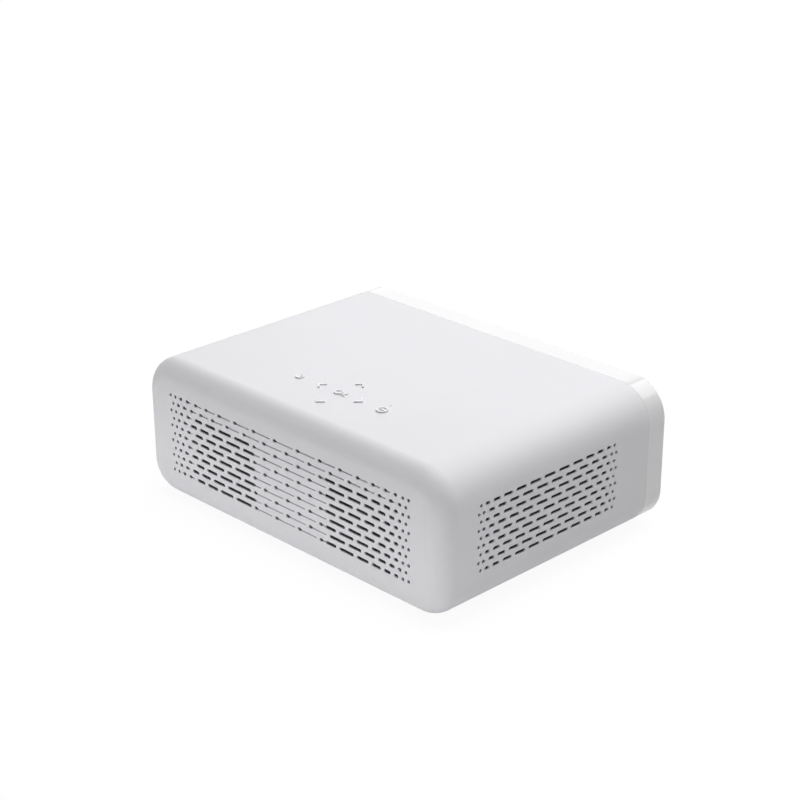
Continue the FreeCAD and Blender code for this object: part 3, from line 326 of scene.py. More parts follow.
def boardFinish(name):
    # a circuit board: lacquer over copper tracks, which show as lighter lines
    finish = Finish(name, IOR=1.5, Coat_Weight=0.4)
    cells = finish.add("ShaderNodeTexBrick", None, {
        "Vector": finish.place(), "Scale": 260.0, "Mortar Size": 0.012, "Mortar Smooth": 0.1,
        "Brick Width": 0.9, "Row Height": 0.35}, output="Fac")
    patch = finish.noise(60, 2).between(0.45, 0.55)
    tint = finish.blend(cells * patch, (0.004, 0.07, 0.03, 1), (0.03, 0.2, 0.08, 1))
    return finish.give(Base_Color=tint, Roughness=0.1 * patch + 0.3, Normal=finish.bump(cells, 0.3, 0.00005))


def meshFinish(name, colour, pitch):
    # woven filter cloth: rows of tiny dark openings
    finish = Finish(name, IOR=1.4)
    holes = finish.add("ShaderNodeTexVoronoi", {"feature": "F1"},
                       {"Vector": finish.place(), "Scale": 1 / (pitch * mm), "Randomness": 0.15})
    threads = holes.between(0.25, 0.5)
    tint = finish.blend(threads, shade(colour, 0.15), shade(colour, 1))
    sheen = 0.1 * threads + 0.8
    return finish.give(Base_Color=tint, Roughness=sheen, Normal=finish.bump(threads, 0.8, 0.0002))


def glassFinish(name, colour, tint, rough=0.02):
    # coated glass: dark, clear and glossy, and its coating tints what it mirrors
    finish = Finish(name, IOR=1.55, Specular_Tint=shade(tint, 1))
    haze = finish.noise(30, 3)
    depth = finish.blend(haze, shade(colour, 0.8), shade(colour, 1.2))
    return finish.give(Base_Color=depth, Roughness=0.03 * haze + rough)


finishes = {
    "case": mouldedPlastic("satinWhite", (0.74, 0.735, 0.762), 0.56),
    "gloss": glossPlastic("glossWhite", (0.77, 0.77, 0.775), 0.09),
    "key": mouldedPlastic("keyWhite", (0.86, 0.86, 0.87), 0.34),
    "panel": glossPlastic("smokedPanel", (0.006, 0.006, 0.007), 0.08),
    "black": mouldedPlastic("blackPlastic", (0.014, 0.014, 0.015), 0.5, spread=0.15),
    "grey": mouldedPlastic("greyPlastic", (0.16, 0.16, 0.17), 0.5, spread=0.08),
    "tray": mouldedPlastic("trayPlastic", (0.03, 0.03, 0.033), 0.45, spread=0.1),
    "gear": mouldedPlastic("gearPlastic", (0.72, 0.7, 0.64), 0.38),
    "foam": meshFinish("filterFoam", (0.005, 0.005, 0.006), 0.9),
    "mesh": meshFinish("speakerCloth", (0.005, 0.005, 0.006), 0.7),
    "rubber": rubberFinish("rubber", (0.03, 0.03, 0.03)),
    "steel": metal("steel", (0.62, 0.62, 0.63), 0.22),
    "brass": metal("brass", (0.78, 0.58, 0.25), 0.25),
    "copper": metal("copper", (0.83, 0.48, 0.32), 0.28),
    "aluminium": metal("aluminium", (0.78, 0.79, 0.8), 0.3),
    "board": boardFinish("circuitBoard"),
    "glass": glassFinish("coatedGlass", (0.004, 0.002, 0.01), (0.42, 0.34, 1.0)),
    "eye": glassFinish("remoteEye", (0.05, 0.003, 0.005), (1.0, 0.55, 0.55), 0.06),
}

# the CAD nodes that show or stay inside; those that aren't named here are black
nodeFinish = {
    "case": ["bottom_cover", "main_shell"],
    "gloss": ["front_bezel", "tray_front", "eject_key", "right_key", "left_key", "down_key", "up_key",
              "power_key", "back_key", "ok_key"],
    "panel": ["front_panel"],
    "eye": ["ir_window"],
    "glass": ["front_lens", "rear_lens", "condenser_lens", "picture_panel"],
    "foam": ["dust_filter"],
    "mesh": ["rear_mesh"],
    "rubber": ["rubber_feet", "drive_belt"],
    "steel": ["cover_screws", "stand_pin", "guide_rods", "lead_screw"],
    "brass": ["threaded_inserts"],
    "copper": ["light_module"],
    "aluminium": ["heat_sink", "spindle_motor", "sled_motor", "loading_motor"],
    "board": ["key_board", "main_board", "power_supply"],
    "tray": ["disc_tray", "turntable", "laser_sled", "focus_ring"],
    "grey": ["loader_frame", "clamp_bridge", "traverse_plate"],
    "gear": ["tray_gear", "drive_pulley", "motor_pulley", "clamp_puck"],
}
finishOf = {member: finishName for finishName, members in nodeFinish.items() for member in members}
for name, node in nodes.items():
    node.data.materials.clear()
    node.data.materials.append(finishes[finishOf.get(name, "black")])
print("finishes made,", len(finishes))


# the casing: a wide tube with round edges and a closed rear end

casing = {
    "left": -145.0, "right": 145.0, "front": -106.0, "seam": -88.5, "rear": 106.0,
    "bottom": 3.0, "top": 103.8, "topRadius": 26.0, "bottomRadius": 23.5, "rearRadius": 14.0,
    "wall": 1.2, "steps": 16, "rearSteps": 12,
}


def roundedBlock(name, front, rear, inset=0.0):
    # the casing's outline as a solid block, moved in by inset
    c = casing
    block = addBox(name, (c["left"] + inset, front, c["bottom"] + inset),
                   (c["right"] - inset, rear, c["top"] - inset))
    startEdit(block)
    pick("EDGE", lambda m, d: abs(d.y) > 0.9 and m.z > c["top"] - inset - 0.1)
    bevel(c["topRadius"] - inset, c["steps"])
    pick("EDGE", lambda m, d: abs(d.y) > 0.9 and m.z < c["bottom"] + inset + 0.1
         and abs(m.x) > c["right"] - inset - 0.1)
    bevel(c["bottomRadius"] - inset, c["steps"])
    endEdit()
    return block


grille = {
    "middle": 53.4, "pitch": 5.6, "slotHeight": 2.35, "gap": 3.0, "lip": 0.22, "reach": 6.0, "sides": 12,
    "grooveHeight": 0.9, "grooveDepth": 0.9, "grooveLip": 0.35, "endHole": 3.2, "flare": 1.0,
    "rearRows": 11, "rearSlots": 9, "blankRows": 2, "windows": ((29.0, 95.0), (-130.0, -39.5)),
    "sideRows": 9, "sideSlots": 6, "sideMiddle": 9.5, "sideLift": 0.7, "sideReach": 67.0, "sideStep": 11.8,
}


def rearStation(k):
    n = abs(k)
    steps = 4.081 * n - 0.143 * n ** 2 - 0.01646 * n ** 3 + 0.001138 * n ** 4
    return math.copysign(steps * grille["pitch"], k)


def sideStation(k):
    return grille["sideReach"] * math.sin(math.radians(grille["sideStep"] * k))


def rowOfSlots(station, last):
    # (start, end) of each slot in a row whose end slots are number -last and last
    half = grille["gap"] / 2
    numbers = [-last + i for i in range(int(2 * last) + 1)]
    return [(station(k - 0.5) + half, station(k + 0.5) - half) for k in numbers]


def openSpans(start, end, windows):
    # where a slot goes through: inside a window, and in a small hole at its end
    g = grille
    if end - start <= g["endHole"]:
        return [(start, end)]
    spans = [(end - g["endHole"], end)]
    for low, high in windows:
        a = max(start, low)
        b = min(end, high)
        if b >= end - g["endHole"] > a:
            spans = [(a, end)]
        elif b - a > g["endHole"]:
            spans.append((a, b))
    return spans


def slotMaster(name, height, inner, lip):
    # a round punch that points along +Y, wider at the surface so that the slot gets a soft lip
    radius = height / 2
    punch = addRod(name, radius, (0, inner, 0), (0, -lip, 0), grille["sides"])
    startEdit(punch)
    for rise in (lip, grille["flare"]):
        pick("FACE", lambda m, d: d.y > 0.9)
        bpy.ops.mesh.extrude_region_move(TRANSFORM_OT_translate={"value": (0, rise * mm, 0)})
        bpy.ops.transform.resize(value=((radius + rise) / radius, 1, (radius + rise) / radius))
        radius += rise
    endEdit()
    return punch


def slotsFrom(master, spans, height):
    # copies of the punch, each stretched to its slot's length
    made = []
    for start, end in spans:
        slot = copyOf(master, "slot")
        stretch = max(end - start - height, 0.0)
        startEdit(slot)
        pick("VERT", lambda p: p.x > 0)
        bpy.ops.transform.translate(value=(stretch * mm, 0, 0))
        endEdit()
        slot.location.x = ((start + end) / 2 - stretch / 2) * mm
        made.append(slot)
    only(made[0])
    for slot in made:
        slot.select_set(True)
    bpy.ops.object.join()
    bpy.ops.object.transform_apply(location=True, rotation=True, scale=True)
    return bpy.context.active_object


def rowsFrom(rowMaker, rows, middle):
    # one row of each kind is modelled, the others are copies of it
    g = grille
    models = {}
    placed = []
    for row, kind in rows:
        if kind not in models:
            models[kind] = rowMaker(kind)
        twin = copyOf(models[kind], "row")
        twin.location.z = (middle + ((len(rows) - 1) / 2 - row) * g["pitch"]) * mm
        placed.append(twin)
    for model in models.values():
        bpy.data.objects.remove(model)
    return joinAll(placed, "slots")


def rearSpans(odd):
    return rowOfSlots(rearStation, grille["rearSlots"] - odd / 2)


def cutRearGrille(shell):
    # a row's kind: is it an odd one, and is it one of the blank rows at the top
    g = grille
    rows = [(row, (row % 2, row < g["blankRows"])) for row in range(g["rearRows"])]
    punch = slotMaster("punch", g["slotHeight"], -g["reach"], g["lip"])
    scribe = slotMaster("scribe", g["grooveHeight"], -g["grooveDepth"], g["grooveLip"])

    def through(kind):
        odd, blank = kind
        windows = () if blank else g["windows"]
        spans = [span for start, end in rearSpans(odd) for span in openSpans(start, end, windows)]
        return slotsFrom(punch, spans, g["slotHeight"])

    def grooves(kind):
        spans = [(a, b - g["endHole"] / 2) for a, b in rearSpans(kind[0]) if b - a > g["endHole"] + 1]
        return slotsFrom(scribe, spans, g["grooveHeight"])

    for maker in (grooves, through):
        cutter = rowsFrom(maker, rows, g["middle"])
        cutter.location.y = casing["rear"] * mm
        cutWith(shell, cutter)
    bpy.data.objects.remove(punch)
    bpy.data.objects.remove(scribe)


def cutSideGrille(shell):
    g = grille
    punch = slotMaster("punch", g["slotHeight"], -g["reach"], g["lip"])

    def through(odd):
        return slotsFrom(punch, rowOfSlots(sideStation, g["sideSlots"] + odd / 2), g["slotHeight"])

    cutter = rowsFrom(through, [(row, row % 2) for row in range(g["sideRows"])], g["middle"] + g["sideLift"])
    cutter.rotation_euler.z = math.radians(90)
    cutter.location = (casing["left"] * mm, g["sideMiddle"] * mm, 0)
    cutWith(shell, cutter)
    bpy.data.objects.remove(punch)


def buildShell():
    c = casing
    shell = roundedBlock("casingShell", c["seam"], c["rear"])
    startEdit(shell)
    pick("EDGE", lambda m, d: m.y > c["rear"] - 0.1 and abs(d.y) < 0.1)
    bevel(c["rearRadius"], c["rearSteps"])
    pick("FACE", lambda m, d: d.y < -0.9)
    bpy.ops.mesh.delete(type="FACE")
    endEdit()
    modify(shell, "SOLIDIFY", thickness=c["wall"] * mm, offset=-1, use_even_offset=True)
    return shell


shell = buildShell()
print("casing built,", len(shell.data.polygons), "faces")
cutRearGrille(shell)
print("rear grille cut,", len(shell.data.polygons), "faces")
cutSideGrille(shell)
print("side grille cut,", len(shell.data.polygons), "faces")


# keys: each symbol is a cap that stands a little proud of the casing

keys = {
    "padX": -3.6, "padY": 58.0, "reach": 21.4, "arm": 5.7, "width": 1.1, "corner": 0.2, "gap": 0.2,
    "top": 103.8, "under": 99.6, "low": 102.8, "high": 104.8, "proud": 0.05, "soft": 0.16, "sides": 40,
    "powerX": 35.9, "powerRadius": 3.0, "backX": -43.0, "backRadius": 4.0, "line": 0.9,
    "roundX": -2.0, "roundRadius": 3.1, "legX": -8.7, "legHalf": 2.3, "legStart": -0.3, "legReach": 1.3,
    "backBar": (1.6, 0.4), "backTip": (1.3, 1.1), "powerShort": 0.2, "holeDeep": 8, "holeOver": 2,
}
arrows = {
    "right_key": (keys["padX"] - keys["reach"], keys["padY"], 180),
    "left_key": (keys["padX"] + keys["reach"], keys["padY"], 0),
    "down_key": (keys["padX"], keys["padY"] + keys["reach"], 90),
    "up_key": (keys["padX"], keys["padY"] - keys["reach"], 270),
}


def chevron(name, x, y, turn, grow, low, high):
    # two arms at right angles: one arm is a box, the other grows out of its side
    arm = keys["arm"] + 2 * grow
    thick = keys["width"] + 2 * grow
    piece = addBox(name, (-arm + grow, -grow, low), (grow, thick - grow, high))
    startEdit(piece)
    bpy.ops.mesh.select_all(action="SELECT")
    bpy.ops.mesh.bisect(plane_co=((grow - thick) * mm, 0, 0), plane_no=(1, 0, 0))
    pick("FACE", lambda m, d: d.y > 0.9 and m.x > grow - thick)
    bpy.ops.mesh.extrude_region_move(TRANSFORM_OT_translate={"value": (0, (arm - thick) * mm, 0)})
    endEdit()
    piece.rotation_euler.z = math.radians(turn + 45)
    piece.location = (x * mm, y * mm, 0)
    only(piece)
    return settle(name)


def softenTop(piece, size, corners=0.0):
    # round the upright corners, then the rim of the top face
    startEdit(piece)
    if corners:
        pick("EDGE", lambda m, d: abs(d.z) > 0.9)
        bevel(corners, 3)
    pick("FACE", lambda m, d: d.z > 0.9 and m.z > keys["high"] - 0.01)
    bpy.ops.mesh.region_to_loop()
    bevel(size, 2)
    endEdit()


def raisedBar(name, x0, y0, x1, y1):
    return addBox(name, (x0, y0, keys["low"]), (x1, y1, keys["high"]))


def hoop(name, x, outer, start=0.0, sweep=360.0):
    # the end face of a square bar, spun round the key's middle
    thin = 0.01
    y = keys["padY"]
    piece = raisedBar(name, x + outer - keys["line"], y - thin, x + outer, y + thin)
    startEdit(piece)
    pick("FACE", lambda m, d: d.y > 0.9)
    bpy.ops.mesh.select_all(action="INVERT")
    bpy.ops.mesh.delete(type="ONLY_FACE")
    bpy.ops.mesh.select_all(action="SELECT")
    bpy.ops.mesh.delete_loose()
    bpy.ops.mesh.select_all(action="SELECT")
    bpy.ops.transform.translate(value=(0, -thin * mm, 0))
    bpy.ops.transform.rotate(value=-math.radians(start), orient_axis="Z", center_override=(x * mm, y * mm, 0))
    bpy.ops.mesh.spin(steps=max(8, int(sweep / 10)), angle=math.radians(sweep), center=(x * mm, y * mm, 0),
                      axis=(0, 0, 1))
    if sweep >= 360:
        # a full turn leaves end faces inside, which face round the circle
        pick("FACE", lambda m, d: abs(d.z) < 0.1
             and abs(Vector((m.x - x, m.y - y, 0)).normalized().dot(d)) < 0.5)
        bpy.ops.mesh.delete(type="FACE")
    bpy.ops.mesh.select_all(action="SELECT")
    bpy.ops.mesh.remove_doubles(threshold=0.00001)
    bpy.ops.mesh.normals_make_consistent(inside=False)
    endEdit()
    return piece


def cap(name, x, radius):
    k = keys
    return addRod(name, radius, (x, k["padY"], k["under"]), (x, k["padY"], k["top"] + k["proud"]), k["sides"])


def finishKey(name, body, caps, symbol, soft):
    for part in symbol:
        softenTop(part, soft)
    key = joinAll(caps + symbol, name)
    smooth(key)
    finishPiece(key, body, finishes["key"], body)


def keyHoles():
    k = keys
    low = k["top"] - k["holeDeep"]
    high = k["top"] + k["holeOver"]
    holes = [chevron("hole", x, y, turn, k["gap"], low, high) for x, y, turn in arrows.values()]
    for x, radius in ((k["powerX"], k["powerRadius"]), (k["backX"], k["backRadius"]),
                      (k["roundX"], k["roundRadius"])):
        holes.append(addRod("hole", radius + k["gap"], (x, k["padY"], low), (x, k["padY"], high), k["sides"]))
    half = k["legHalf"] + k["gap"]
    x = k["legX"]
    holes.append(addBox("hole", (x - half, k["padY"] - half, low), (x + half, k["padY"] + half, high)))
    return joinAll(holes, "keyHoles")


cutWith(shell, keyHoles())


def buildArrowKeys():
    k = keys
    for name, (x, y, turn) in arrows.items():
        key = chevron(name + "_cap", x, y, turn, 0.0, k["under"], k["high"])
        softenTop(key, k["soft"], k["corner"])
        smooth(key)
        finishPiece(key, name, finishes["key"], name)


def buildPowerKey():
    # an open ring with a bar through the gap
    k = keys
    x = k["powerX"]
    half = k["line"] / 2
    base = cap("powerCap", x, k["powerRadius"])
    y = k["padY"]
    symbol = [hoop("powerRing", x, k["powerRadius"], -60, 300),
              raisedBar("powerBar", x - half, y - k["powerRadius"], x + half, y - k["powerShort"])]
    finishKey("powerKey", "power_key", [base], symbol, k["soft"])


def buildBackKey():
    # a ring round a small arrow that points back
    k = keys
    x = k["backX"]
    y = k["padY"]
    base = cap("backCap", x, k["backRadius"])
    long, half = k["backBar"]
    radius, out = k["backTip"]
    symbol = [hoop("backRing", x, k["backRadius"]),
              raisedBar("backBar", x - long, y - half, x + long, y + half),
              addRod("backTip", radius, (x + out, y, k["low"]), (x + out, y, k["high"]), 3)]
    finishKey("backKey", "back_key", [base], symbol, k["soft"] * 0.7)


def buildOkKey():
    # the letter O is a ring, and K a stem with two leaning legs
    k = keys
    y = k["padY"]
    half = k["legHalf"]
    stemX = k["legX"] + half
    base = cap("letterCap", k["roundX"], k["roundRadius"])
    symbol = [hoop("letterO", k["roundX"], k["roundRadius"])]
    plate = addBox("letterPlate", (k["legX"] - half, y - half, k["under"]),
                   (stemX, y + half, k["top"] + k["proud"]))
    symbol.append(raisedBar("stem", stemX - k["line"], y - half, stemX, y + half))
    for lean in (1, -1):
        leg = raisedBar("leg", k["legStart"], -k["line"] / 2, half * k["legReach"], k["line"] / 2)
        leg.rotation_euler.z = math.radians(180 - lean * 45)
        leg.location = ((stemX - k["line"]) * mm, y * mm, 0)
        only(leg)
        symbol.append(settle("leg"))
    finishKey("okKey", "ok_key", [base, plate], symbol, k["soft"])


buildArrowKeys()
buildPowerKey()
buildBackKey()
buildOkKey()
print("keys built")


# the window for the sockets and the cover's opening in the casing

ports = {
    "face": 145.0, "z": 35.0, "window": (-35.0, 71.0), "height": 15.6, "corner": 1.2,
    "pocket": ((-118.0, -80.0, 0.0), (118.0, 86.0, 5.5)), "pocketCorner": 2.0, "pinhole": (-41.2, 48.6, 0.5),
    "windowSpare": 8, "pinholeDeep": 4, "pinholeOver": 1, "pinholeSides": 16, "seamSoft": 0.2,
}


def windowBlock(name, x0, x1, grow):
    p = ports
    half = p["height"] / 2 + grow
    start, end = p["window"]
    block = addBox(name, (x0, start - grow, p["z"] - half), (x1, end + grow, p["z"] + half))
    roundEdges(block, lambda m, d: abs(d.x) > 0.9, p["corner"] + grow, 4)
    return block


def cutPorts(shell):
    p = ports
    window = windowBlock("hole", p["face"] - p["windowSpare"], p["face"] + p["windowSpare"], 0)
    pocket = addBox("hole", *p["pocket"])
    roundEdges(pocket, lambda m, d: abs(d.z) > 0.9, p["pocketCorner"], 4)
    x, y, radius = p["pinhole"]
    low = casing["top"] - p["pinholeDeep"]
    high = casing["top"] + p["pinholeOver"]
    pinhole = addRod("hole", radius, (x, y, low), (x, y, high), p["pinholeSides"])
    cutWith(shell, joinAll([window, pocket, pinhole], "portHoles"))


cutPorts(shell)
roundEdges(shell, lambda m, d: m.y < casing["seam"] + 0.01 and abs(d.y) < 0.1, ports["seamSoft"], 2)
smooth(shell)
finishPiece(shell, "casing", finishes["case"], "main_shell")
print("casing finished")


# sockets in their inset plate

sockets = {
    "hdmi": {"y": -22.0, "wide": 16.0, "high": 7.0, "corner": 0.6},
    "usb": {"y": 1.0, "wide": 14.6, "high": 7.6, "corner": 0.6},
    "jacks": {"y": 24.5, "wide": 25.7, "high": 11.6, "corner": 0.8},
    "mains": {"y": 54.0, "wide": 24.0, "high": 13.0, "corner": 1.5},
}
socketFit = {
    "face": 144.6, "plate": 144.7, "plateBack": 142.4, "plateFit": -0.12, "lipBack": 141.2, "lip": 2.2,
    "gap": 0.25, "soft": 0.25, "holeStart": 138, "holeEnd": 150, "shellBack": 0.05, "shellSoft": 0.25,
    "sheet": 0.3, "tongueSoft": 0.15, "stripHalf": (0.3, 0.08), "stripSoft": 0.05,
}


def socketBlock(name, socket, grow, x0, x1):
    half = socket["wide"] / 2 + grow
    rise = socket["high"] / 2 + grow
    block = addBox(name, (x0, socket["y"] - half, ports["z"] - rise),
                   (x1, socket["y"] + half, ports["z"] + rise))
    roundEdges(block, lambda m, d: abs(d.x) > 0.9, socket["corner"], 3)
    return block


def buildSocketPlate():
    f = socketFit
    plate = windowBlock("socketPlate", f["plateBack"], f["plate"], f["plateFit"])
    lip = windowBlock("lip", f["lipBack"], f["plateBack"], f["lip"])
    holes = [socketBlock("hole", socket, f["gap"], f["holeStart"], f["holeEnd"])
             for socket in sockets.values()]
    cutters = joinAll(holes, "socketHoles")
    cutWith(plate, copyOf(cutters, "plateHoles"))
    cutWith(lip, cutters)
    roundEdges(plate, lambda m, d: m.x > f["plate"] - 0.01 and abs(d.x) < 0.1, f["soft"], 2)
    whole = joinAll([plate, lip], "socketPlate")
    smooth(whole)
    finishPiece(whole, "casing", finishes["black"], "socket_plate")


# what shows in the two data sockets: a folded steel shell, a tongue and its contacts.
# half is (across, up), slant is the chamfer of the shell's lower corners, and near and far are depths
dataSockets = {
    "hdmi": {"half": (7.0, 2.35), "depth": 9.8, "slant": 1.2,
             "tongue": {"wide": 10.6, "lift": 0.5, "thick": 0.9, "near": 1.6, "far": 9.6},
             "contacts": {"wide": 9.4, "count": 10, "lift": 0.97, "near": 2.4, "far": 9.0}},
    "usb": {"half": (6.3, 2.7), "depth": 11.8, "slant": 0.0,
            "tongue": {"wide": 11.1, "lift": 1.1, "thick": 1.8, "near": 1.2, "far": 11.6},
            "contacts": {"wide": 10.0, "count": 4, "lift": 0.22, "near": 3.2, "far": 10.4}},
}


def addShell(name, y, made):
    across, up = made["half"]
    z = ports["z"]
    f = socketFit
    tube = addBox(name, (f["face"] - made["depth"], y - across, z - up),
                  (f["face"] - f["shellBack"], y + across, z + up))
    startEdit(tube)
    if made["slant"]:
        pick("EDGE", lambda m, d: abs(d.x) > 0.9 and m.z < z - up + 0.01)
        bevel(made["slant"], 1)
    pick("EDGE", lambda m, d: abs(d.x) > 0.9)
    bevel(f["shellSoft"], 2)
    pick("FACE", lambda m, d: d.x > 0.9)
    bpy.ops.mesh.delete(type="FACE")
    endEdit()
    modify(tube, "SOLIDIFY", thickness=f["sheet"] * mm, offset=-1, use_even_offset=True)
    smooth(tube)
    return tube


def addTongue(name, y, made):
    z = ports["z"] + made["lift"]
    face = socketFit["face"]
    bar = addBox(name, (face - made["far"], y - made["wide"] / 2, z - made["thick"] / 2),
                 (face - made["near"], y + made["wide"] / 2, z + made["thick"] / 2))
    soften(bar, socketFit["tongueSoft"])
    smooth(bar)
    return bar


def addContacts(name, y, made):
    # one strip, copied side by side
    f = socketFit
    z = ports["z"] + made["lift"]
    pitch = made["wide"] / made["count"]
    share, thick = f["stripHalf"]
    strip = addBox(name, (f["face"] - made["far"], y - pitch * share, z - thick),
                   (f["face"] - made["near"], y + pitch * share, z + thick))
    soften(strip, f["stripSoft"])
    row = []
    for i in range(made["count"]):
        twin = copyOf(strip, name)
        twin.location.y = (i - (made["count"] - 1) / 2) * pitch * mm
        row.append(twin)
    bpy.data.objects.remove(strip)
    return joinAll(row, name)


def buildDataSockets():
    for name, made in dataSockets.items():
        y = sockets[name]["y"]
        finishPiece(addShell(name + "Shell", y, made), "casing", finishes["steel"])
        finishPiece(addTongue(name + "Tongue", y, made["tongue"]), "casing", finishes["black"])
        finishPiece(addContacts(name + "Contacts", y, made["contacts"]), "casing", finishes["brass"])


jackRim = {
    "rows": (18.0, 31.0), "sides": 40,
    "profile": [(1.85, 0), (1.85, -3), (2.4, -3), (2.4, -0.3), (4.1, -0.3), (4.3, -0.1), (4.1, 0.3),
                (2.5, 0.35), (1.85, 0)],
}
inletPin = {
    "apart": 8.6, "deep": 3, "sides": 24,
    "profile": [(0, 0.2), (0.7, 0.1), (1.15, -0.5), (1.28, -1.2), (1.28, -9.5), (0, -9.5)],
}


def buildTurnedRow(name, made, rows, x):
    for number, y in enumerate(rows):
        piece = turned("%s_%d" % (name, number), made["profile"], (x, y, ports["z"]), "x", made["sides"])
        smooth(piece)
        finishPiece(piece, "casing", finishes["steel"])


buildSocketPlate()
buildDataSockets()
buildTurnedRow("jackRim", jackRim, jackRim["rows"], socketFit["face"])
inletRows = [sockets["mains"]["y"] + side * inletPin["apart"] / 2 for side in (-1, 1)]
buildTurnedRow("inletPin", inletPin, inletRows, socketFit["face"] - inletPin["deep"])
print("sockets built")


# the gloss ring round the front

ring = {"rim": 9.0, "depth": 4.0, "skin": 3.1, "outerSoft": 2.0, "innerSoft": 0.6, "seamSoft": 0.25}


def outsideOf(m, inset):
    # is this point nearer to the casing's outline than inset
    c = casing
    middle = (c["top"] + c["bottom"]) / 2
    radius = c["topRadius"] if m.z > middle else c["bottomRadius"]
    high = (c["top"] - c["bottom"]) / 2
    dx = max(abs(m.x) - (c["right"] - radius), 0)
    dz = max(abs(m.z - middle) - (high - radius), 0)
    if dx > 0 and dz > 0:
        return math.hypot(dx, dz) > radius - inset
    return abs(m.x) > c["right"] - inset or abs(m.z - middle) > high - inset


def onRim(m):
    # is this point on the ring's inner outline
    return outsideOf(m, ring["rim"] + 0.5) and not outsideOf(m, ring["rim"] - 0.5)


def buildFrontRing():
    c = casing
    block = roundedBlock("frontRing", c["front"], c["seam"])
    startEdit(block)
    pick("FACE", lambda m, d: abs(d.y) > 0.9)
    bpy.ops.mesh.inset(thickness=ring["rim"] * mm, use_even_offset=True)
    bpy.ops.mesh.bridge_edge_loops()
    endEdit()
    hollow = roundedBlock("hollow", c["front"] + ring["depth"], c["seam"] + 2, ring["skin"])
    cutWith(block, hollow)
    startEdit(block)
    pick("EDGE", lambda m, d: m.y < c["front"] + 0.01 and abs(d.y) < 0.1 and outsideOf(m, 1.0))
    bevel(ring["outerSoft"], 6)
    pick("EDGE", lambda m, d: m.y < c["front"] + 0.01 and abs(d.y) < 0.1 and onRim(m))
    bevel(ring["innerSoft"], 3)
    pick("EDGE", lambda m, d: m.y > c["seam"] - 0.01 and abs(d.y) < 0.1 and outsideOf(m, 1.0))
    bevel(ring["seamSoft"], 2)
    endEdit()
    smooth(block)
    finishPiece(block, "casing", finishes["gloss"], "front_bezel")


buildFrontRing()
print("front ring built")


# the smoked front panel and the disc drawer's door

front = {
    "face": -101.9, "back": -99.5, "inset": 3.4, "lensX": -74.0, "lensZ": 55.0, "lensHole": 31.2,
    "doorLeft": 0.0, "doorRight": 132.0, "doorLow": 61.5, "doorHigh": 77.5, "doorGap": 0.5, "gapCorner": 1.4,
    "ejectX": -18.0, "ejectZ": 70.0, "ejectRadius": 4.25, "eyeZ": 50.0, "eyeRadius": 5.1, "holeSides": 64,
    "spare": 3, "soft": 0.35,
}


def buildFrontPanel():
    f = front
    panel = roundedBlock("frontPanel", f["face"], f["back"], f["inset"])
    low = f["face"] - f["spare"]
    high = f["back"] + f["spare"]
    gap = f["doorGap"]
    opening = addBox("hole", (f["doorLeft"] - gap, low, f["doorLow"] - gap),
                     (f["doorRight"] + gap, high, f["doorHigh"] + gap))
    roundEdges(opening, lambda m, d: abs(d.y) > 0.9, f["gapCorner"], 4)
    holes = [opening]
    places = ((f["lensX"], f["lensZ"], f["lensHole"]), (f["ejectX"], f["ejectZ"], f["ejectRadius"]),
              (f["ejectX"], f["eyeZ"], f["eyeRadius"]))
    for x, z, radius in places:
        holes.append(addRod("hole", radius, (x, low, z), (x, high, z), f["holeSides"]))
    cutWith(panel, joinAll(holes, "panelHoles"))
    startEdit(panel)
    pick("FACE", lambda m, d: d.y < -0.9)
    bpy.ops.mesh.region_to_loop()
    bevel(f["soft"], 2)
    endEdit()
    smooth(panel)
    finishPiece(panel, "casing", finishes["panel"], "front_panel")


door = {
    "face": -102.4, "back": -98.05, "corner": 1.8, "edge": 1.1, "rim": 2.5, "hollow": 1.5,
    "barInset": 16.0, "barBack": 1, "barLow": 66.1, "barHigh": 71.9, "barSoft": 0.3, "steps": 5,
}


def buildDoor():
    # the drawer's door: soft edges, a shallow hollow behind and the bar that joins it to the drawer
    f = front
    d = door
    block = addBox("trayDoor", (f["doorLeft"], d["face"], f["doorLow"]),
                   (f["doorRight"], d["back"], f["doorHigh"]))
    startEdit(block)
    pick("EDGE", lambda middle, way: abs(way.y) > 0.9)
    bevel(d["corner"], d["steps"])
    pick("FACE", lambda middle, way: way.y > 0.9)
    bpy.ops.mesh.inset(thickness=d["rim"] * mm)
    bpy.ops.mesh.extrude_region_move(TRANSFORM_OT_translate={"value": (0, -d["hollow"] * mm, 0)})
    pick("FACE", lambda middle, way: way.y < -0.9)
    bpy.ops.mesh.region_to_loop()
    bevel(d["edge"], d["steps"])
    endEdit()
    bar = addBox("doorBar", (f["doorLeft"] + d["barInset"], d["face"] + d["barBack"], d["barLow"]),
                 (f["doorRight"] - d["barInset"], d["back"], d["barHigh"]))
    soften(bar, d["barSoft"])
    whole = joinAll([block, bar], "trayDoor")
    smooth(whole)
    finishPiece(whole, "disc_tray", finishes["gloss"], "tray_front")


eject = {
    "profile": [(0, -0.6), (1.8, -0.62), (3.0, -0.74), (3.45, -0.8), (3.8, -0.6), (4.0, -0.2), (4.0, 2.9),
                (5.2, 2.9), (5.2, 4.2), (1.5, 4.2), (1.5, 7), (0, 7)],
    "sides": 48, "markFront": -0.78, "markBack": -0.5, "barHalf": 1.2, "barLow": -1.3, "barHigh": -0.85,
    "wedgeRadius": 1.35, "wedgeLift": 0.25, "markSoft": 0.06,
}


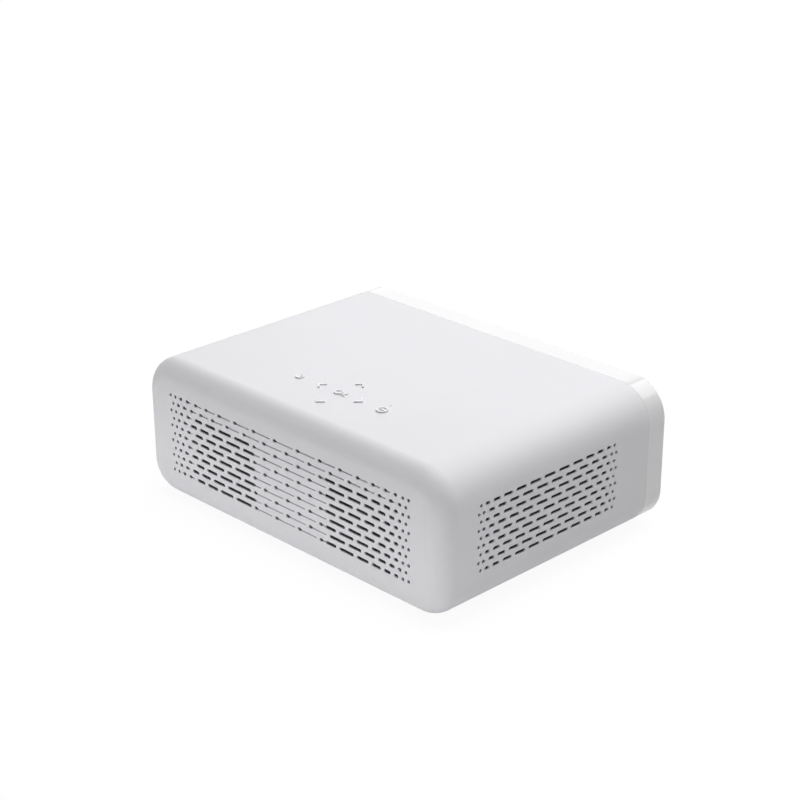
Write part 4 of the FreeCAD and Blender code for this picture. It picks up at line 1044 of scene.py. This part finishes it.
def buildEjectKey():
    # a turned button with a shallow dish, and the usual wedge over a bar
    e = eject
    x = front["ejectX"]
    z = front["ejectZ"]
    near = front["face"] + e["markFront"]
    far = front["face"] + e["markBack"]
    button = turned("ejectButton", e["profile"], (x, front["face"], z), "y", e["sides"])
    bar = addBox("mark", (x - e["barHalf"], near, z + e["barLow"]), (x + e["barHalf"], far, z + e["barHigh"]))
    middle = z + e["wedgeLift"]
    wedge = addRod("mark", e["wedgeRadius"], (x, near, middle), (x, far, middle), 3)
    smooth(button)
    finishPiece(button, "eject_key", finishes["gloss"], "eject_key")
    for part in (bar, wedge):
        soften(part, e["markSoft"])
    finishPiece(joinAll([bar, wedge], "ejectMark"), "eject_key", finishes["black"])


eye = {
    "profile": [(0, -0.5), (1.6, -0.48), (3.0, -0.4), (4.2, -0.22), (4.8, 0.0), (5.0, 0.3), (5.0, 2.5),
                (6.2, 2.5), (6.2, 3.6), (0, 3.6)],
    "sides": 48,
}


def buildEye():
    place = (front["ejectX"], front["face"], front["eyeZ"])
    window = turned("remoteEye", eye["profile"], place, "y", eye["sides"])
    smooth(window)
    finishPiece(window, "casing", finishes["eye"], "ir_window")


buildFrontPanel()
buildDoor()
buildEjectKey()
buildEye()
print("front built")


# the lens: focus ring, barrel and glass

lens = {
    "x": -74.0, "z": 55.0, "ringFront": -104.4, "ringRadius": 30.5, "ringBore": 27.06, "ringDeep": 27.0,
    "grips": 16, "gripRadius": 1.9, "gripOut": 1.1, "gripOver": 3, "gripDeep": 8.0, "gripSides": 20,
    "ringSoft": 0.18,
    "barrelFront": -99.5, "barrelRadius": 24.0, "barrelBore": 21.0, "barrelDeep": 47.5,
    "stop": (19.6, 12.0, 13.0), "mouth": 22.6, "throat": 1.6, "ridges": 5, "ridgePitch": 0.6,
    "ridgeDeep": 0.5,
    "glassFront": -95.8, "glassRadius": 20.9, "glassDeep": 6.5, "bulge": 2.6, "glassRings": 9, "sides": 96,
}


def buildFocusRing():
    n = lens
    radius = n["ringRadius"]
    bore = n["ringBore"]
    deep = n["ringDeep"]
    profile = [(bore, deep), (bore, 11), (25.0, 9.5), (26.2, 0.6), (26.8, 0), (radius - 1.2, 0),
               (radius - 0.3, 0.4), (radius, 1.2), (radius, deep), (bore, deep)]
    piece = turned("focusRing", profile, (n["x"], n["ringFront"], n["z"]), "y", n["sides"])
    groove = addRod("groove", n["gripRadius"], (0, -n["gripOver"], 0), (0, n["gripDeep"], 0), n["gripSides"])
    cutters = []
    for i in range(n["grips"]):
        angle = 2 * math.pi * i / n["grips"]
        out = radius + n["gripOut"]
        twin = copyOf(groove, "groove")
        twin.location = ((n["x"] + out * math.cos(angle)) * mm, n["ringFront"] * mm,
                         (n["z"] + out * math.sin(angle)) * mm)
        cutters.append(twin)
    bpy.data.objects.remove(groove)
    cutWith(piece, joinAll(cutters, "grooves"))
    soften(piece, n["ringSoft"], 2, 32)
    smooth(piece)
    finishPiece(piece, "focus_ring", finishes["tray"], "focus_ring")


def buildBarrel():
    # the mouth steps down to the glass in fine ridges, which keep stray light out
    n = lens
    outer = n["barrelRadius"]
    bore = n["barrelBore"]
    deep = n["barrelDeep"]
    profile = [(outer, deep), (outer, 0.4), (outer - 0.4, 0)]
    for i in range(n["ridges"]):
        r = n["mouth"] - i * n["throat"] / n["ridges"]
        at = i * n["ridgePitch"]
        profile += [(r, at), (r, at + n["ridgeDeep"])]
    stop, stopFront, stopBack = n["stop"]
    profile += [(bore, 3.2), (bore, stopFront), (stop, stopFront), (stop, stopBack), (bore, stopBack),
                (bore, deep), (outer, deep)]
    barrel = turned("lensBarrel", profile, (n["x"], n["barrelFront"], n["z"]), "y", n["sides"])
    smooth(barrel, 25)
    finishPiece(barrel, "lens_barrel", finishes["black"], "lens_barrel")


def buildGlass():
    # the glass bulges as part of a ball
    n = lens
    edge = n["glassRadius"]
    ball = (edge ** 2 + n["bulge"] ** 2) / (2 * n["bulge"])
    profile = [(0, -n["bulge"])]
    for i in range(1, n["glassRings"] + 1):
        r = edge * i / n["glassRings"]
        profile.append((r, ball - n["bulge"] - math.sqrt(ball ** 2 - r ** 2)))
    profile += [(edge, n["glassDeep"]), (0, n["glassDeep"])]
    glass = turned("frontGlass", profile, (n["x"], n["glassFront"], n["z"]), "y", n["sides"])
    smooth(glass)
    finishPiece(glass, "lens_barrel", finishes["glass"], "front_lens")


buildFocusRing()
buildBarrel()
buildGlass()
print("lens built")


# the underside: feet and screws

feet = {
    "places": [(x, y) for x in (-98.0, 98.0) for y in (-60.0, 64.0)], "sides": 48, "lift": 0.0,
    "profile": [(0, 0.5), (3.0, 0.5), (3.3, 0.0), (4.6, 0.0), (4.8, 0.4), (5.2, 0.4), (5.4, 0), (6.7, 0),
                (7.5, 0.3), (8.0, 1.0), (8.0, 3.8), (0, 3.8)],
}
screws = {
    "places": [(x, y) for x in (-113.0, 113.0) for y in (-66.0, 3.0, 72.0)], "sides": 32, "lift": 3.3,
    "profile": [(0, 0.0), (1.9, 0.02), (2.5, 0.22), (2.8, 0.6), (2.8, 0.9), (1.4, 0.95), (1.4, 8.5),
                (0, 8.5)],
    "slotHalf": (1.5, 0.32), "slotDeep": 0.75,
}


def placeCopies(model, made, name):
    # one model, copied to its places and joined
    copies = []
    for x, y in made["places"]:
        twin = copyOf(model, model.name)
        twin.location = (x * mm, y * mm, made["lift"] * mm)
        copies.append(twin)
    bpy.data.objects.remove(model)
    return joinAll(copies, name)


def buildFeet():
    foot = turned("foot", feet["profile"], (0, 0, 0), "z", feet["sides"])
    smooth(foot, 25)
    finishPiece(placeCopies(foot, feet, "rubberFeet"), "casing", finishes["rubber"], "rubber_feet")


def buildScrews():
    # a pan head with a cross recess
    head = turned("screw", screws["profile"], (0, 0, 0), "z", screws["sides"])
    long, half = screws["slotHalf"]
    for across, up in ((long, half), (half, long)):
        cutWith(head, addBox("slot", (-across, -up, -1), (across, up, screws["slotDeep"])))
    smooth(head)
    finishPiece(placeCopies(head, screws, "coverScrews"), "casing", finishes["steel"], "cover_screws")


buildFeet()
buildScrews()
print("underside built")


# camera, light and floor

view = {
    "place": (-0.8700, 0.8499, 0.6030), "tilt": 64.98, "turn": -134.88,
    "lens": 1949.3 / 800 * 36, "shiftX": -0.0214, "shiftY": 0.0753,
}
camera = bpy.data.objects.new("camera", bpy.data.cameras.new("camera"))
bpy.context.scene.collection.objects.link(camera)
camera.location = view["place"]
camera.rotation_euler = (math.radians(view["tilt"]), 0, math.radians(view["turn"]))
camera.data.sensor_width = 36
camera.data.lens = view["lens"]
camera.data.shift_x = view["shiftX"]
camera.data.shift_y = view["shiftY"]
bpy.context.scene.camera = camera


# each lamp: its place, its size, its power, how high it is for its width, and what it points at
lamps = {
    "overhead": ((0, 0, 1.6), 1.3, 20.6, 1.0, (0, 0, 0.05)),
    "farKey": ((-0.25, -1.35, 1.15), 1.2, 11, 1.0, (0, 0, 0.05)),
    "leftSkirt": ((0.1, 0.235, 0.018), 1.1, 0.35, 0.03, (0.1, 0, 0.018)),
    "farWall": ((1.15, -1.15, 0.8), 1.2, 3.5, 1.0, (0, 0, 0.05)),
    "rightHigh": ((-1.4, -0.3, 1.1), 1.0, 2.8, 1.0, (0, 0, 0.05)),
}


def softbox(name, place, size, power, shape, target):
    lamp = bpy.data.objects.new(name, bpy.data.lights.new(name, "AREA"))
    bpy.context.scene.collection.objects.link(lamp)
    lamp.data.shape = "RECTANGLE"
    lamp.data.size = size
    lamp.data.size_y = size * shape
    lamp.data.energy = power
    lamp.location = place
    lamp.rotation_euler = (Vector(target) - Vector(place)).to_track_quat("-Z", "Y").to_euler()


for name, made in lamps.items():
    softbox(name, *made)

studio = {
    "ambient": 0.02, "backdrop": 1.0, "floor": (0.74, 0.74, 0.74, 1), "floorRough": 0.9, "floorSize": 12,
    "floorDrop": 0.0002, "glow": 1.04, "glowNear": 0.9, "glowFar": 0.97, "near": 0.5, "far": 1.6,
}


def seenShare(graph):
    # 1 for what the camera sees, straight or in a gloss or glass, and 0 for the light itself
    camera, gloss, glass = [graph.add("ShaderNodeLightPath", output=ray)
                            for ray in ("Is Camera Ray", "Is Glossy Ray", "Is Transmission Ray")]
    return camera | gloss | glass


def lightWorld():
    world = bpy.data.worlds.new("studio")
    bpy.context.scene.world = world
    world.use_nodes = True
    graph = Graph(world.node_tree)
    graph.tree.nodes.remove(graph.tree.nodes["Background"])
    light, shown = [graph.add("ShaderNodeBackground", None, {"Color": (1, 1, 1, 1), "Strength": studio[name]})
                    for name in ("ambient", "backdrop")]
    graph.mixShaders(seenShare(graph), light, shown, "World Output")


def buildFloor():
    # far away the floor glows almost wholly and meets the backdrop unseen; near by it keeps the shadow
    bpy.ops.object.select_all(action="DESELECT")
    bpy.ops.mesh.primitive_plane_add(size=studio["floorSize"], location=(0, 0, -studio["floorDrop"]))
    floor = settle("floor")
    paper = Finish("paperSweep", Base_Color=studio["floor"], Roughness=studio["floorRough"])
    away = paper.add("ShaderNodeVectorMath", {"operation": "LENGTH"}, {0: paper.place()}, output="Value")
    share = paper.add("ShaderNodeMapRange", None, {
        "Value": away, "From Min": studio["near"], "From Max": studio["far"],
        "To Min": studio["glowNear"], "To Max": studio["glowFar"]})
    glow = paper.add("ShaderNodeEmission", None, {"Strength": studio["glow"]})
    plain = Value(paper, paper.shader.outputs[0])
    paper.mixShaders(seenShare(paper) * share, plain, glow, "Material Output")
    floor.data.materials.append(paper.material)


lightWorld()
buildFloor()
bpy.context.scene.view_settings.view_transform = "Standard"
print("camera, light and floor placed")
